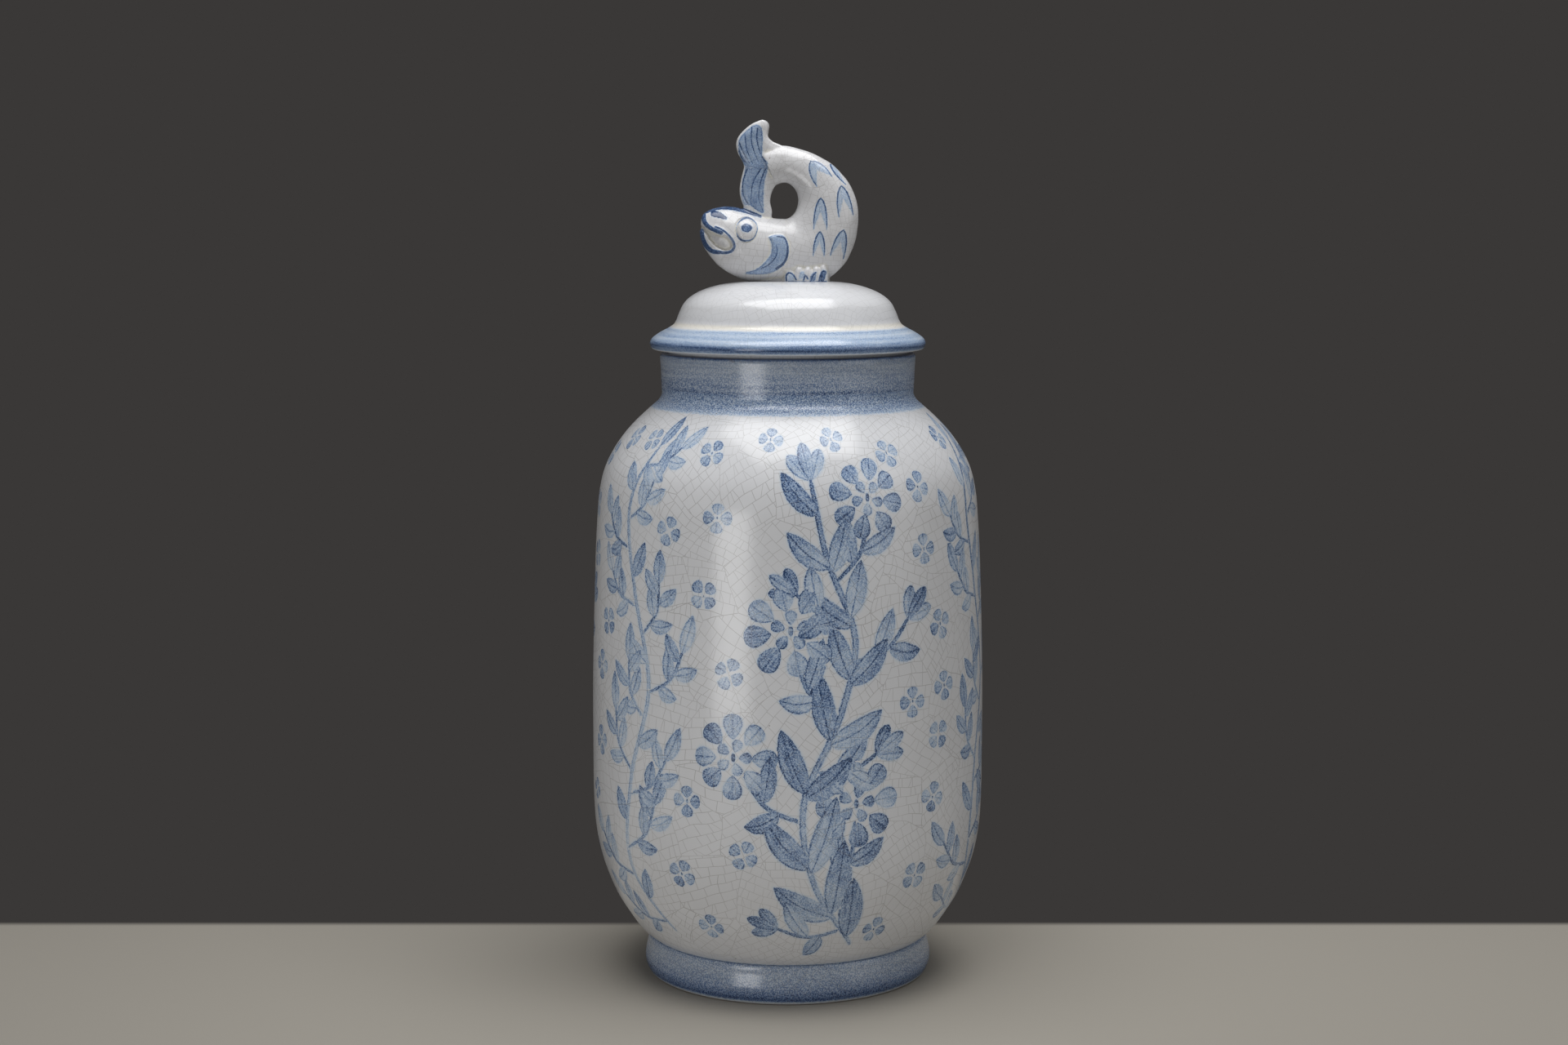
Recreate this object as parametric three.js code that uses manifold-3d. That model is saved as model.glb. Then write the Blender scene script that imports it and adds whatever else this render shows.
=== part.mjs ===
// A tall tin-glazed earthenware jar with a lid. The lid's knob is a fish that curls over so that its tail fin
// stands on its head and leaves a loop for a finger.
// Millimetres, +Z up. The origin is the centre of the foot, on the face that the jar stands on.
// The fish lies in the XZ plane, with its head towards -X.
//
// The potter makes it from separate clay parts that are luted together with slip before firing:
// a foot ring, a body and a neck collar for the jar, and a cover, a locating flange and a fish for the lid.

import * as THREE from "three";
import { mergeVertices } from "three/addons/utils/BufferGeometryUtils.js";
import Module from "manifold-3d";

const wasm = await Module();
wasm.setup();

// Driving dimensions: joints between clay parts
const slipGap = 0.3;
const roundSegments = 48;

// Driving dimensions: foot ring
const footHeight = 21;
const footTopRadius = 75.8;
const footRestInset = 0.8;
const footBulge = 2.4;
const footBulgeHeight = 8;
const footWall = 11;
const baseRecess = 7;

// Driving dimensions: body
const bodyRadius = 105.7;
const bodyWall = 7;
const floorThickness = 9;
const bellyHeight = 83;
const wallHeight = 152;
const wallTaper = 3.7;
const shoulderHeight = 58;
const shoulderConeHeight = 14;
const shoulderConeRun = 14.7;

// Driving dimensions: neck collar
const neckRadius = 67.2;
const neckFlare = 1.3;
const neckWall = 7;
const neckHeight = 23;
const rimRounding = 2;

// Driving dimensions: lid
const brimOverhang = 5.1;
const brimHeight = 6;
const brimSlopeHeight = 9.5;
const domeStandOff = 2.4;
const domeHeight = 22.5;
const domeFlatRadius = 20;
const lidWall = 6;
const flangePlay = 3.5;
const flangeWall = 5;
const flangeDepth = 14;

// Driving dimensions: fish knob, in its own upright plane
const loopOffset = -2;
const loopHalfWidth = 7.4;
const loopHalfHeight = 9.7;
const bellyHalfThickness = 17.4;
const haunchHalfThickness = 19.2;
const flankHalfThickness = 17;
const loinHalfThickness = 15.3;
const backHalfThickness = 11;
const tailRootHalfThickness = 9.2;
const bellyHalfWidth = 13.5;
const tailRootHalfWidth = 7;
const tailRootAngle = 115;
const headLength = 44;
const headHalfHeight = 19.2;
const headHalfWidth = 14;
const snoutRise = 12.3;
const snoutHalfHeight = 4.6;
const snoutHalfWidth = 6;
const seatDepth = 1.5;

// Driving dimensions: details of the fish
const gapeLength = 17;
const gapeDrop = 9.6;
const gapeDepth = 7.5;
const tongueThickness = 5;
const tongueSetback = 5;
const eyeBack = 19.5;
const eyeRise = 11.4;
const eyeHalfWidth = 5.4;
const eyeHalfHeight = 6.2;
const eyeRelief = 2.2;
const gillFinReach = 23;
const gillFinRise = 10;
const gillFinDrop = 10.2;
const gillFinWidth = 8;
const gillFinRelief = 1.8;
const tailFinThickness = 8.5;
const upperLobeRise = 25.3;
const upperLobeReach = 18.2;
const upperLobeWidth = 16.5;
const lobeNotchReach = 14;
const lowerLobeReach = 16.2;
const bellyFinLobes = 4;
const bellyFinLobeRadius = 3.4;
const bellyFinHeight = 7.5;

// Heights up the vase that follow from the sizes above
const bellyZ = footHeight + bellyHeight;
const shoulderZ = bellyZ + wallHeight;
const neckZ = shoulderZ + shoulderHeight;
const rimZ = neckZ + neckHeight;
const domeTopZ = rimZ + brimHeight + brimSlopeHeight + domeHeight;

// Radii that mating parts share
const footRestRadius = footTopRadius - footRestInset;
const footBulgeRadius = footTopRadius + footBulge;
const footBoreRadius = footTopRadius - footWall;
const neckBoreRadius = neckRadius - neckWall;
const rimRadius = neckRadius + neckFlare;
const brimRadius = rimRadius + brimOverhang;
const flangeRadius = neckBoreRadius - flangePlay;
const flangeBoreRadius = flangeRadius - flangeWall;
const domeRadius = flangeRadius + domeStandOff;

// Heights in the fish's plane, measured from the top of the dome
const spineRise = bellyHalfThickness - seatDepth;
const loopRise = spineRise + bellyHalfThickness + loopHalfHeight;

const whiteGlaze = new THREE.MeshStandardMaterial({ color: "#e2e0dc", roughness: 0.18, metalness: 0 });
const blueBandGlaze = new THREE.MeshStandardMaterial({ color: "#6f8cb9", roughness: 0.2, metalness: 0 });
const blueBrushGlaze = new THREE.MeshStandardMaterial({ color: "#7f9ac6", roughness: 0.2, metalness: 0 });

// A closed mesh as a solid that can be joined and cut.
function solidOf(geometry) {
  const bare = geometry.index ? geometry.toNonIndexed() : geometry.clone();
  bare.deleteAttribute("normal");
  bare.deleteAttribute("uv");
  const merged = mergeVertices(bare, 1e-4);
  return new wasm.Manifold(
    new wasm.Mesh({
      numProp: 3,
      vertProperties: merged.attributes.position.array,
      triVerts: new Uint32Array(merged.index.array),
    }),
  );
}

// A solid as a geometry again.
function geometryOf(solid) {
  const mesh = solid.getMesh();
  const geometry = new THREE.BufferGeometry();
  geometry.setAttribute("position", new THREE.BufferAttribute(new Float32Array(mesh.vertProperties), 3));
  geometry.setIndex(new THREE.BufferAttribute(new Uint32Array(mesh.triVerts), 1));
  geometry.computeVertexNormals();
  return geometry;
}

// A named part of the vase.
function part(name, geometry, material) {
  const mesh = new THREE.Mesh(geometry, material);
  mesh.name = name;
  return mesh;
}

// A profile of (radius, height) points turned about the Z axis, running anticlockwise round its section.
function turned(profile) {
  const geometry = new THREE.LatheGeometry(profile, roundSegments);
  geometry.rotateX(Math.PI / 2);
  return geometry;
}

// A profile moved sideways by a distance, to the left of its direction of travel.
function offsetProfile(points, distance) {
  return points.map((point, i) => {
    const before = points[Math.max(i - 1, 0)];
    const after = points[Math.min(i + 1, points.length - 1)];
    const along = after.clone().sub(before).normalize();
    return new THREE.Vector2(point.x - along.y * distance, point.y + along.x * distance);
  });
}

// Foot ring: a full, rounded band that the body stands in, with a flat face to rest on.
function footRing() {
  const outline = new THREE.Path();
  outline.moveTo(footBoreRadius, 0);
  outline.lineTo(footRestRadius, 0);
  outline.quadraticCurveTo(footBulgeRadius, 0, footBulgeRadius, footBulgeHeight);
  outline.quadraticCurveTo(footBulgeRadius, footHeight - 3, footTopRadius, footHeight);
  outline.lineTo(footBoreRadius, footHeight);
  outline.lineTo(footBoreRadius, 0);
  return part("foot_ring", turned(outline.getPoints(4)), blueBandGlaze);
}

// The body's outer wall, from the foot ring up to the neck collar.
function bodyWallOutline() {
  const wall = new THREE.Path();
  wall.moveTo(footTopRadius, footHeight);
  wall.bezierCurveTo(
    footTopRadius + (bodyRadius - footTopRadius) * 0.48,
    footHeight + bellyHeight * 0.157,
    bodyRadius,
    bellyZ - bellyHeight * 0.48,
    bodyRadius,
    bellyZ,
  );
  const shoulderRadius = bodyRadius - wallTaper;
  wall.quadraticCurveTo(bodyRadius, (bellyZ + shoulderZ) / 2, shoulderRadius, shoulderZ);
  const coneZ = neckZ - shoulderConeHeight;
  const coneRadius = neckRadius + shoulderConeRun;
  wall.bezierCurveTo(
    shoulderRadius - 1,
    THREE.MathUtils.lerp(shoulderZ, coneZ, 0.45),
    coneRadius + (shoulderRadius - coneRadius) * 0.54,
    THREE.MathUtils.lerp(shoulderZ, coneZ, 0.77),
    coneRadius,
    coneZ,
  );
  wall.quadraticCurveTo(neckRadius + 1, neckZ - 3, neckRadius, neckZ);
  return wall.getPoints(6);
}

// Body: a thrown wall and floor. Its base drops into the foot ring, and its top carries the neck collar.
function jarBody() {
  const outer = bodyWallOutline();
  const insideFloorZ = baseRecess + floorThickness;
  const lining = offsetProfile(outer, bodyWall)
    .filter((p, i) => i % 2 === 0 && p.y > insideFloorZ + bodyWall && p.y < neckZ - bodyWall)
    .reverse();
  const spigotRadius = footBoreRadius - slipGap;
  const profile = [
    new THREE.Vector2(0, baseRecess),
    new THREE.Vector2(spigotRadius, baseRecess),
    new THREE.Vector2(spigotRadius, footHeight),
    ...outer,
    new THREE.Vector2(neckBoreRadius, neckZ),
    ...lining,
    new THREE.Vector2(spigotRadius - bodyWall, insideFloorZ),
    new THREE.Vector2(0, insideFloorZ),
  ];
  return part("jar_body", turned(profile), whiteGlaze);
}

// Neck collar: a short upright wall with a rounded rim that the lid rests on.
function neckCollar() {
  const outline = new THREE.Path();
  outline.moveTo(neckBoreRadius, neckZ);
  outline.lineTo(neckRadius, neckZ);
  outline.lineTo(rimRadius, rimZ - rimRounding);
  outline.quadraticCurveTo(rimRadius, rimZ, rimRadius - rimRounding, rimZ);
  outline.lineTo(neckBoreRadius + rimRounding, rimZ);
  outline.quadraticCurveTo(neckBoreRadius, rimZ, neckBoreRadius, rimZ - rimRounding);
  outline.lineTo(neckBoreRadius, neckZ);
  return part("neck_collar", turned(outline.getPoints(3)), blueBandGlaze);
}

// The lid's dome from its root on the brim to its flat top, as (radius, height) points.
function domeOutline() {
  const dome = new THREE.Path();
  const rootZ = domeTopZ - domeHeight;
  dome.moveTo(domeRadius, rootZ);
  dome.bezierCurveTo(
    domeRadius - 0.8,
    rootZ + domeHeight * 0.6,
    THREE.MathUtils.lerp(domeFlatRadius, domeRadius, 0.56),
    domeTopZ,
    domeFlatRadius,
    domeTopZ,
  );
  return dome.getPoints(8);
}

// Lid cover: a hollow dome on a sloping brim, which overhangs the rim and rests on it.
function lidCover() {
  const dome = domeOutline();
  const brim = new THREE.Path();
  brim.moveTo(flangeBoreRadius, rimZ);
  brim.lineTo(rimRadius, rimZ);
  brim.quadraticCurveTo(brimRadius, rimZ, brimRadius, rimZ + brimHeight);
  brim.quadraticCurveTo(brimRadius, rimZ + brimHeight + 3, domeRadius + 5, domeTopZ - domeHeight - 3);
  brim.quadraticCurveTo(domeRadius, domeTopZ - domeHeight - 1, domeRadius, domeTopZ - domeHeight);
  const lining = offsetProfile(dome, lidWall)
    .filter((p, i) => i % 2 === 1 && p.x > domeFlatRadius && p.x < flangeBoreRadius)
    .reverse();
  const profile = [
    ...brim.getPoints(4),
    ...dome.slice(1),
    new THREE.Vector2(0, domeTopZ),
    new THREE.Vector2(0, domeTopZ - lidWall),
    new THREE.Vector2(domeFlatRadius, domeTopZ - lidWall),
    ...lining,
    new THREE.Vector2(flangeBoreRadius, domeTopZ - domeHeight),
    new THREE.Vector2(flangeBoreRadius, rimZ),
  ];
  return part("lid_cover", turned(profile), whiteGlaze);
}

// Lid flange: the ring under the lid that drops into the neck and keeps the lid in its place.
function lidFlange() {
  const profile = [
    new THREE.Vector2(flangeBoreRadius, rimZ - flangeDepth),
    new THREE.Vector2(flangeRadius - 1, rimZ - flangeDepth),
    new THREE.Vector2(flangeRadius, rimZ - flangeDepth + 1),
    new THREE.Vector2(flangeRadius, rimZ),
    new THREE.Vector2(flangeBoreRadius, rimZ),
    new THREE.Vector2(flangeBoreRadius, rimZ - flangeDepth),
  ];
  return part("lid_flange", turned(profile), whiteGlaze);
}

// A loft through oval sections. Each has a centre, a direction to its upper side, and two half sizes.
function lofted(sections, sides = 22) {
  const positions = [];
  const indices = [];
  for (const { x, z, tall, wide, upX, upZ } of sections) {
    for (let i = 0; i < sides; i++) {
      const turn = (i / sides) * 2 * Math.PI;
      const rise = tall * Math.cos(turn);
      positions.push(x + upX * rise, wide * Math.sin(turn), z + upZ * rise);
    }
  }
  const rings = sections.length;
  for (let ring = 0; ring < rings - 1; ring++) {
    for (let i = 0; i < sides; i++) {
      const a = ring * sides + i;
      const b = ring * sides + ((i + 1) % sides);
      indices.push(a, a + sides, b, b, a + sides, b + sides);
    }
  }
  for (const [ring, facing] of [[0, 1], [rings - 1, -1]]) {
    const centre = positions.length / 3;
    positions.push(sections[ring].x, 0, sections[ring].z);
    for (let i = 0; i < sides; i++) {
      const a = ring * sides + i;
      const b = ring * sides + ((i + 1) % sides);
      indices.push(centre, ...(facing > 0 ? [a, b] : [b, a]));
    }
  }
  const geometry = new THREE.BufferGeometry();
  geometry.setAttribute("position", new THREE.Float32BufferAttribute(positions, 3));
  geometry.setIndex(indices);
  return geometry;
}

// The head's oval at a share of its length, from 0 under the finger loop to 1 at the lips.
function headSection(share, grow) {
  const cheekShare = 0.45;
  const swell = Math.sin((Math.PI / 2) * Math.min(share / cheekShare, 1)) ** 2;
  const behindCheek = Math.max((share - cheekShare) / (1 - cheekShare), 0);
  const taper = Math.sqrt(1 - behindCheek ** 2.2);
  const fullHeight = THREE.MathUtils.lerp(bellyHalfThickness, headHalfHeight, swell);
  const fullWidth = THREE.MathUtils.lerp(bellyHalfWidth, headHalfWidth, swell);
  return {
    x: loopOffset - headLength * share,
    z: domeTopZ + spineRise + snoutRise * share ** 2,
    tall: Math.max(fullHeight * taper, snoutHalfHeight) + grow,
    wide: THREE.MathUtils.lerp(snoutHalfWidth, fullWidth, taper) + grow,
    upX: 0,
    upZ: 1,
  };
}

// Half the trunk's thickness in its plane where it curls round the finger loop, at an angle from the +X side.
const trunkStations = [
  [-90, bellyHalfThickness],
  [-60, haunchHalfThickness],
  [-20, flankHalfThickness],
  [0, loinHalfThickness],
  [45, backHalfThickness],
  [70, tailRootHalfThickness],
  [180, tailRootHalfThickness],
];

// The trunk's oval at an angle round the finger loop.
function trunkSection(degrees, grow) {
  const next = Math.max(trunkStations.findIndex(([at]) => at >= degrees), 1);
  const [fromAngle, fromHalf] = trunkStations[next - 1];
  const [toAngle, toHalf] = trunkStations[next];
  const half = THREE.MathUtils.lerp(fromHalf, toHalf, (degrees - fromAngle) / (toAngle - fromAngle));
  const along = (degrees + 90) / (tailRootAngle + 90);
  const angle = THREE.MathUtils.degToRad(degrees);
  const cos = Math.cos(angle);
  const sin = Math.sin(angle);
  return {
    x: loopOffset + cos * (loopHalfWidth + half),
    z: domeTopZ + loopRise + sin * (loopHalfHeight + half),
    tall: half + grow,
    wide: THREE.MathUtils.lerp(bellyHalfWidth, tailRootHalfWidth, along ** 1.3) + grow,
    upX: -cos,
    upZ: -sin,
  };
}

// The fish's whole form from lips to tail root, swollen by a distance so that its neighbours can be cut to fit.
function fishForm(grow) {
  const headShares = [0.985, 0.95, 0.88, 0.78, 0.66, 0.54, 0.42, 0.28, 0.14];
  const sections = headShares.map((share) => headSection(share, grow));
  const steps = 14;
  for (let i = 0; i <= steps; i++) {
    sections.push(trunkSection(THREE.MathUtils.lerp(-90, tailRootAngle, i / steps), grow));
  }
  return solidOf(lofted(sections));
}

// The lid's dome swollen by the slip gap, for cutting what stands on it.
function domeForm() {
  const dome = offsetProfile(domeOutline(), -slipGap);
  const profile = [
    new THREE.Vector2(0, rimZ),
    new THREE.Vector2(dome[0].x, rimZ),
    ...dome,
    new THREE.Vector2(0, domeTopZ + slipGap),
  ];
  return solidOf(turned(profile));
}

// A flat shape in the fish's plane, given thickness across it between two places on Y.
function slab(shape, fromY, toY, bevel = 0) {
  const geometry = new THREE.ExtrudeGeometry(shape, {
    depth: toY - fromY - 2 * bevel,
    bevelEnabled: bevel > 0,
    bevelThickness: bevel,
    bevelSize: bevel,
    bevelOffset: -bevel,
    bevelSegments: 2,
    curveSegments: 8,
  });
  geometry.rotateX(Math.PI / 2);
  geometry.translate(0, toY - bevel, 0);
  return solidOf(geometry);
}

// The open mouth: a crescent-shaped gape that runs back and down from the lips.
function gapeShape() {
  const lips = headSection(1, 0);
  const front = lips.x - 3;
  const corner = lips.x + gapeLength;
  const cornerZ = lips.z - gapeDrop;
  const shape = new THREE.Shape();
  shape.moveTo(front, lips.z + 1.5);
  shape.quadraticCurveTo(lips.x + gapeLength * 0.6, lips.z - gapeDrop * 0.35, corner, cornerZ);
  shape.quadraticCurveTo(lips.x + gapeLength * 0.3, cornerZ - gapeDepth, front, lips.z - 0.5);
  return shape;
}

// Fish body: head and trunk in one piece, with the gape cut in and its belly fitted to the dome.
function fishBody(dome) {
  const gape = gapeShape();
  const lips = headSection(1, 0);
  const reach = headHalfWidth + 1;
  const tongueSpace = new THREE.BoxGeometry(2 * tongueSetback, tongueThickness + 2, 2 * headHalfHeight);
  tongueSpace.translate(lips.x, 0, lips.z);
  const throat = slab(gape, -reach, reach).intersect(solidOf(tongueSpace));
  const solid = fishForm(0)
    .subtract(slab(gape, tongueThickness / 2, reach))
    .subtract(slab(gape, -reach, -tongueThickness / 2))
    .subtract(throat)
    .subtract(dome);
  return part("fish_body", geometryOf(solid), whiteGlaze);
}

// Tail fin: an upper lobe with a knob at its tip, and a lower lobe that comes down onto the head.
function tailFin(body) {
  const root = trunkSection(tailRootAngle, 0);
  const footBack = lowerLobeReach * 0.8;
  const head = headSection((loopOffset - root.x + footBack / 2) / headLength, 0);
  const footZ = head.z + head.tall - 6;
  const tipZ = root.z + upperLobeRise;
  const outer = root.x - upperLobeReach;
  const inner = outer + upperLobeWidth;
  const shape = new THREE.Shape();
  shape.moveTo(root.x - footBack, footZ);
  shape.lineTo(root.x + 0.8, footZ);
  shape.quadraticCurveTo(root.x - 0.7, root.z - 14.5, root.x + 3.5, root.z - 8);
  shape.lineTo(root.x + 5, root.z + 10);
  shape.quadraticCurveTo(inner, root.z + upperLobeRise * 0.55, inner, tipZ - 5.5);
  shape.quadraticCurveTo(inner + 1.5, tipZ, inner - 3.5, tipZ);
  shape.quadraticCurveTo(outer + 1.5, tipZ - 2, outer, root.z + upperLobeRise * 0.5);
  shape.quadraticCurveTo(outer + 0.3, root.z + upperLobeRise * 0.25, root.x - lobeNotchReach, root.z + 1);
  shape.quadraticCurveTo(root.x - lowerLobeReach - 1.5, root.z - 14, root.x - footBack, footZ + 3);
  const fin = slab(shape, -tailFinThickness / 2, tailFinThickness / 2, 2.5).subtract(body);
  return part("tail_fin", geometryOf(largest(fin)), blueBrushGlaze);
}

// The biggest of a solid's separate bodies, so that a cut leaves one piece and no crumbs.
function largest(solid) {
  const bodies = solid.decompose();
  return bodies.reduce((best, body) => (body.volume() > best.volume() ? body : best));
}

// Gill fins: a crescent on each cheek, of even thickness over the head.
function gillFin(side, body) {
  const x = loopOffset + 2;
  const z = domeTopZ + spineRise;
  const shape = new THREE.Shape();
  shape.moveTo(x - gillFinWidth * 1.25, z + gillFinRise * 0.85);
  shape.quadraticCurveTo(x - gillFinWidth * 0.6, z + gillFinRise * 1.15, x - 1.5, z + gillFinRise * 0.75);
  shape.quadraticCurveTo(x + 1, z, x - gillFinWidth * 0.5, z - gillFinDrop * 0.7);
  shape.quadraticCurveTo(x - gillFinReach / 2, z - gillFinDrop * 1.1, x - gillFinReach, z - gillFinDrop);
  shape.quadraticCurveTo(
    x - gillFinWidth * 0.9,
    z - gillFinDrop * 0.5,
    x - gillFinWidth * 1.25,
    z + gillFinRise * 0.85,
  );
  const reach = headHalfWidth + 10;
  const plate = side > 0 ? slab(shape, 2, reach) : slab(shape, -reach, -2);
  const fin = plate.intersect(fishForm(slipGap + gillFinRelief)).subtract(body);
  return part(side > 0 ? "gill_fin_left" : "gill_fin_right", geometryOf(largest(fin)), blueBrushGlaze);
}

// Eyes: a low oval button of clay on each side of the head.
function eye(side, body) {
  const head = headSection(eyeBack / headLength, 0);
  const z = domeTopZ + spineRise + eyeRise;
  const height = Math.min(Math.abs(z - head.z) / head.tall, 0.95);
  const cheekY = head.wide * Math.sqrt(1 - height * height);
  const button = new THREE.SphereGeometry(1, 16, 10);
  button.scale(eyeHalfWidth, eyeRelief + 2, eyeHalfHeight);
  button.translate(head.x, side * (cheekY - 1), z);
  const solid = largest(solidOf(button).subtract(body));
  return part(side > 0 ? "eye_left" : "eye_right", geometryOf(solid), whiteGlaze);
}

// Belly fins: a fan of rounded lobes on each side, pressed down between the trunk and the dome.
function bellyFin(side, body, dome) {
  let fan = null;
  for (let i = 0; i < bellyFinLobes; i++) {
    const lobe = new THREE.SphereGeometry(1, 10, 8);
    lobe.scale(bellyFinLobeRadius, bellyFinLobeRadius, bellyFinHeight);
    lobe.translate(loopOffset + 3 + i * bellyFinLobeRadius * 1.6, side * bellyHalfWidth * 0.62, domeTopZ + 1);
    fan = fan ? fan.add(solidOf(lobe)) : solidOf(lobe);
  }
  const fin = fan.subtract(body).subtract(dome);
  return part(side > 0 ? "belly_fin_left" : "belly_fin_right", geometryOf(largest(fin)), blueBrushGlaze);
}

const jar = new THREE.Group();
jar.add(footRing(), jarBody(), neckCollar());

const lid = new THREE.Group();
lid.add(lidCover(), lidFlange());

const knob = new THREE.Group();
const dome = domeForm();
const swollenFish = fishForm(slipGap);
knob.add(fishBody(dome), tailFin(swollenFish));
for (const side of [1, -1]) {
  knob.add(gillFin(side, swollenFish), eye(side, swollenFish), bellyFin(side, swollenFish, dome));
}

lid.add(knob);

const vase = new THREE.Group();
vase.add(jar, lid);

export default vase;
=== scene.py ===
"""Dresses a tall lidded jar of tin-glazed earthenware, with a fish for a knob, and stages it for a studio picture.

Meshes are shaped in millimetres, as a potter would measure them, and turned to metres when they are finished.
The jar's axis is Z, the fish lies in the XZ plane with its head towards -X, and the front faces -Y.
"""

import logging
import math
import random
from collections.abc import Callable
from dataclasses import dataclass, field
from enum import Enum

import bmesh
import bpy
import numpy as np
from mathutils import Matrix, Vector, noise


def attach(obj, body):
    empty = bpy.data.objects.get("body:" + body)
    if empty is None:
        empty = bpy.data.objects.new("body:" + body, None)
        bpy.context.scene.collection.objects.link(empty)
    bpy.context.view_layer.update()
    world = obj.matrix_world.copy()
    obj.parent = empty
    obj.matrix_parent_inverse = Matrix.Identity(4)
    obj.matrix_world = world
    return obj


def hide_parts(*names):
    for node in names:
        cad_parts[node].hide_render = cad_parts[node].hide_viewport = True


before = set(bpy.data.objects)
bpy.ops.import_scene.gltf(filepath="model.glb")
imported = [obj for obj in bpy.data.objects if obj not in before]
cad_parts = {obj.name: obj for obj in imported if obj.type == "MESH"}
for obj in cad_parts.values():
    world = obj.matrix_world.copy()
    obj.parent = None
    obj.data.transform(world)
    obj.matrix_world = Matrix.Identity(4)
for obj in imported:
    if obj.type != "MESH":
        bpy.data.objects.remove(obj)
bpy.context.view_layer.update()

log = logging.getLogger("lidded_jar")

MM = 0.001
FULL_TURN = 2 * math.pi
FAR = 99.0
BARE = 9.0
COURSE_SHIFT = 9.0
PLATE_SHIFT = (61.0, 37.0, 53.0)
BLEED_MM = 2.4
Points = list[tuple[float, float]]


def linear(colour: str) -> tuple[float, float, float, float]:
    """Turns a written colour into the linear one that shaders use.

    Args:
        colour: An sRGB colour as #RRGGBB.

    Returns:
        Linear red, green and blue, with an alpha of 1.
    """
    channels = [int(colour[i:i + 2], 16) / 255 for i in (1, 3, 5)]
    light = [c / 12.92 if c <= 0.04045 else ((c + 0.055) / 1.055) ** 2.4 for c in channels]
    return (*light, 1.0)


@dataclass
class Tree:
    """A node tree that a finish, a lamp or the world is built up in."""

    nodes: bpy.types.NodeTree

    def node(self, kind: str, *values, at: dict | None = None, out: int | str = 0, **settings):
        """Adds a node with its settings and links.

        Args:
            kind: The node's type, without the ShaderNode in front of it.
            values: Sockets to link or values to set on the first inputs, in order.
            at: More sockets or values, by the input's name or number.
            out: The output that is wanted, by name or number.
            settings: The node's own properties.

        Returns:
            The wanted output socket.
        """
        made = self.nodes.nodes.new("ShaderNode" + kind)
        for name, value in settings.items():
            setattr(made, name, value)
        for key, value in [*enumerate(values), *(at or {}).items()]:
            if isinstance(value, bpy.types.NodeSocket):
                self.nodes.links.new(value, made.inputs[key])
            else:
                made.inputs[key].default_value = value
        return made.outputs[out] if made.outputs else None


def blank_tree(holder: bpy.types.Material | bpy.types.World) -> Tree:
    """Gives a new material or world an empty node tree."""
    holder.use_nodes = True
    holder.node_tree.nodes.clear()
    return Tree(holder.node_tree)


def millimetres(tree: Tree):
    """Gives a place on a piece in millimetres."""
    return tree.node("VectorMath", tree.node("TexCoord", out="Object"), at={"Scale": 1 / MM}, operation="SCALE")


def mesh_of(name: str, form: bmesh.types.BMesh) -> bpy.types.Mesh:
    """Turns a form into a mesh, which uses the form up."""
    mesh = bpy.data.meshes.new(name)
    form.to_mesh(mesh)
    form.free()
    return mesh


def in_scene(name: str, data: bpy.types.ID) -> bpy.types.Object:
    """Puts a mesh, a lamp or a camera in the scene."""
    made = bpy.data.objects.new(name, data)
    bpy.context.scene.collection.objects.link(made)
    return made


def heading(angle: float) -> np.ndarray:
    """Gives the step of length 1 that points at an angle."""
    return np.array([math.cos(angle), math.sin(angle)])


def smooth_line(points: Points, step: float) -> Points:
    """Draws a smooth curve through points.

    Args:
        points: The points that the curve passes through.
        step: How far apart the returned points lie, in the unit of the points.

    Returns:
        Points at even steps along the curve, both ends included.
    """
    knots = np.array(points, float)
    knots = np.vstack([2 * knots[0] - knots[1], knots, 2 * knots[-1] - knots[-2]])
    gaps = np.linalg.norm(np.diff(knots, axis=0), axis=1) ** 0.5
    dense = [knots[1]]
    for i in range(1, len(knots) - 2):
        a, b, c, d = knots[i - 1:i + 3]
        ga, gb, gc = gaps[i - 1:i + 2]
        leave = gb * ((b - a) / ga - (c - a) / (ga + gb) + (c - b) / gb)
        arrive = gb * ((c - b) / gb - (d - b) / (gb + gc) + (d - c) / gc)
        for t in np.linspace(0, 1, 25)[1:]:
            weights = (2 * t**3 - 3 * t**2 + 1, t**3 - 2 * t**2 + t, 3 * t**2 - 2 * t**3, t**3 - t**2)
            dense.append(weights[0] * b + weights[1] * leave + weights[2] * c + weights[3] * arrive)
    dense = np.array(dense)
    along = np.concatenate([[0], np.cumsum(np.linalg.norm(np.diff(dense, axis=0), axis=1))])
    wanted = np.linspace(0, along[-1], max(round(along[-1] / step), 1) + 1)
    return list(zip(np.interp(wanted, along, dense[:, 0]), np.interp(wanted, along, dense[:, 1])))


def smooth_step(values: np.ndarray, low: float, high: float) -> np.ndarray:
    """Rises smoothly from 0 at low to 1 at high."""
    share = np.clip((values - low) / (high - low), 0, 1)
    return share * share * (3 - 2 * share)


def inner_line(outer: Points, wall: float) -> Points:
    """Draws the inside of a wall.

    Args:
        outer: The wall's outer line, as radius and height.
        wall: Its thickness.

    Returns:
        The outer line moved inwards, without its two ends.
    """
    inner = []
    for before, here, after in zip(outer, outer[1:], outer[2:]):
        way = Vector((after[0] - before[0], after[1] - before[1])).normalized()
        inner.append((here[0] - way.y * wall, here[1] + way.x * wall))
    return inner


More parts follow.
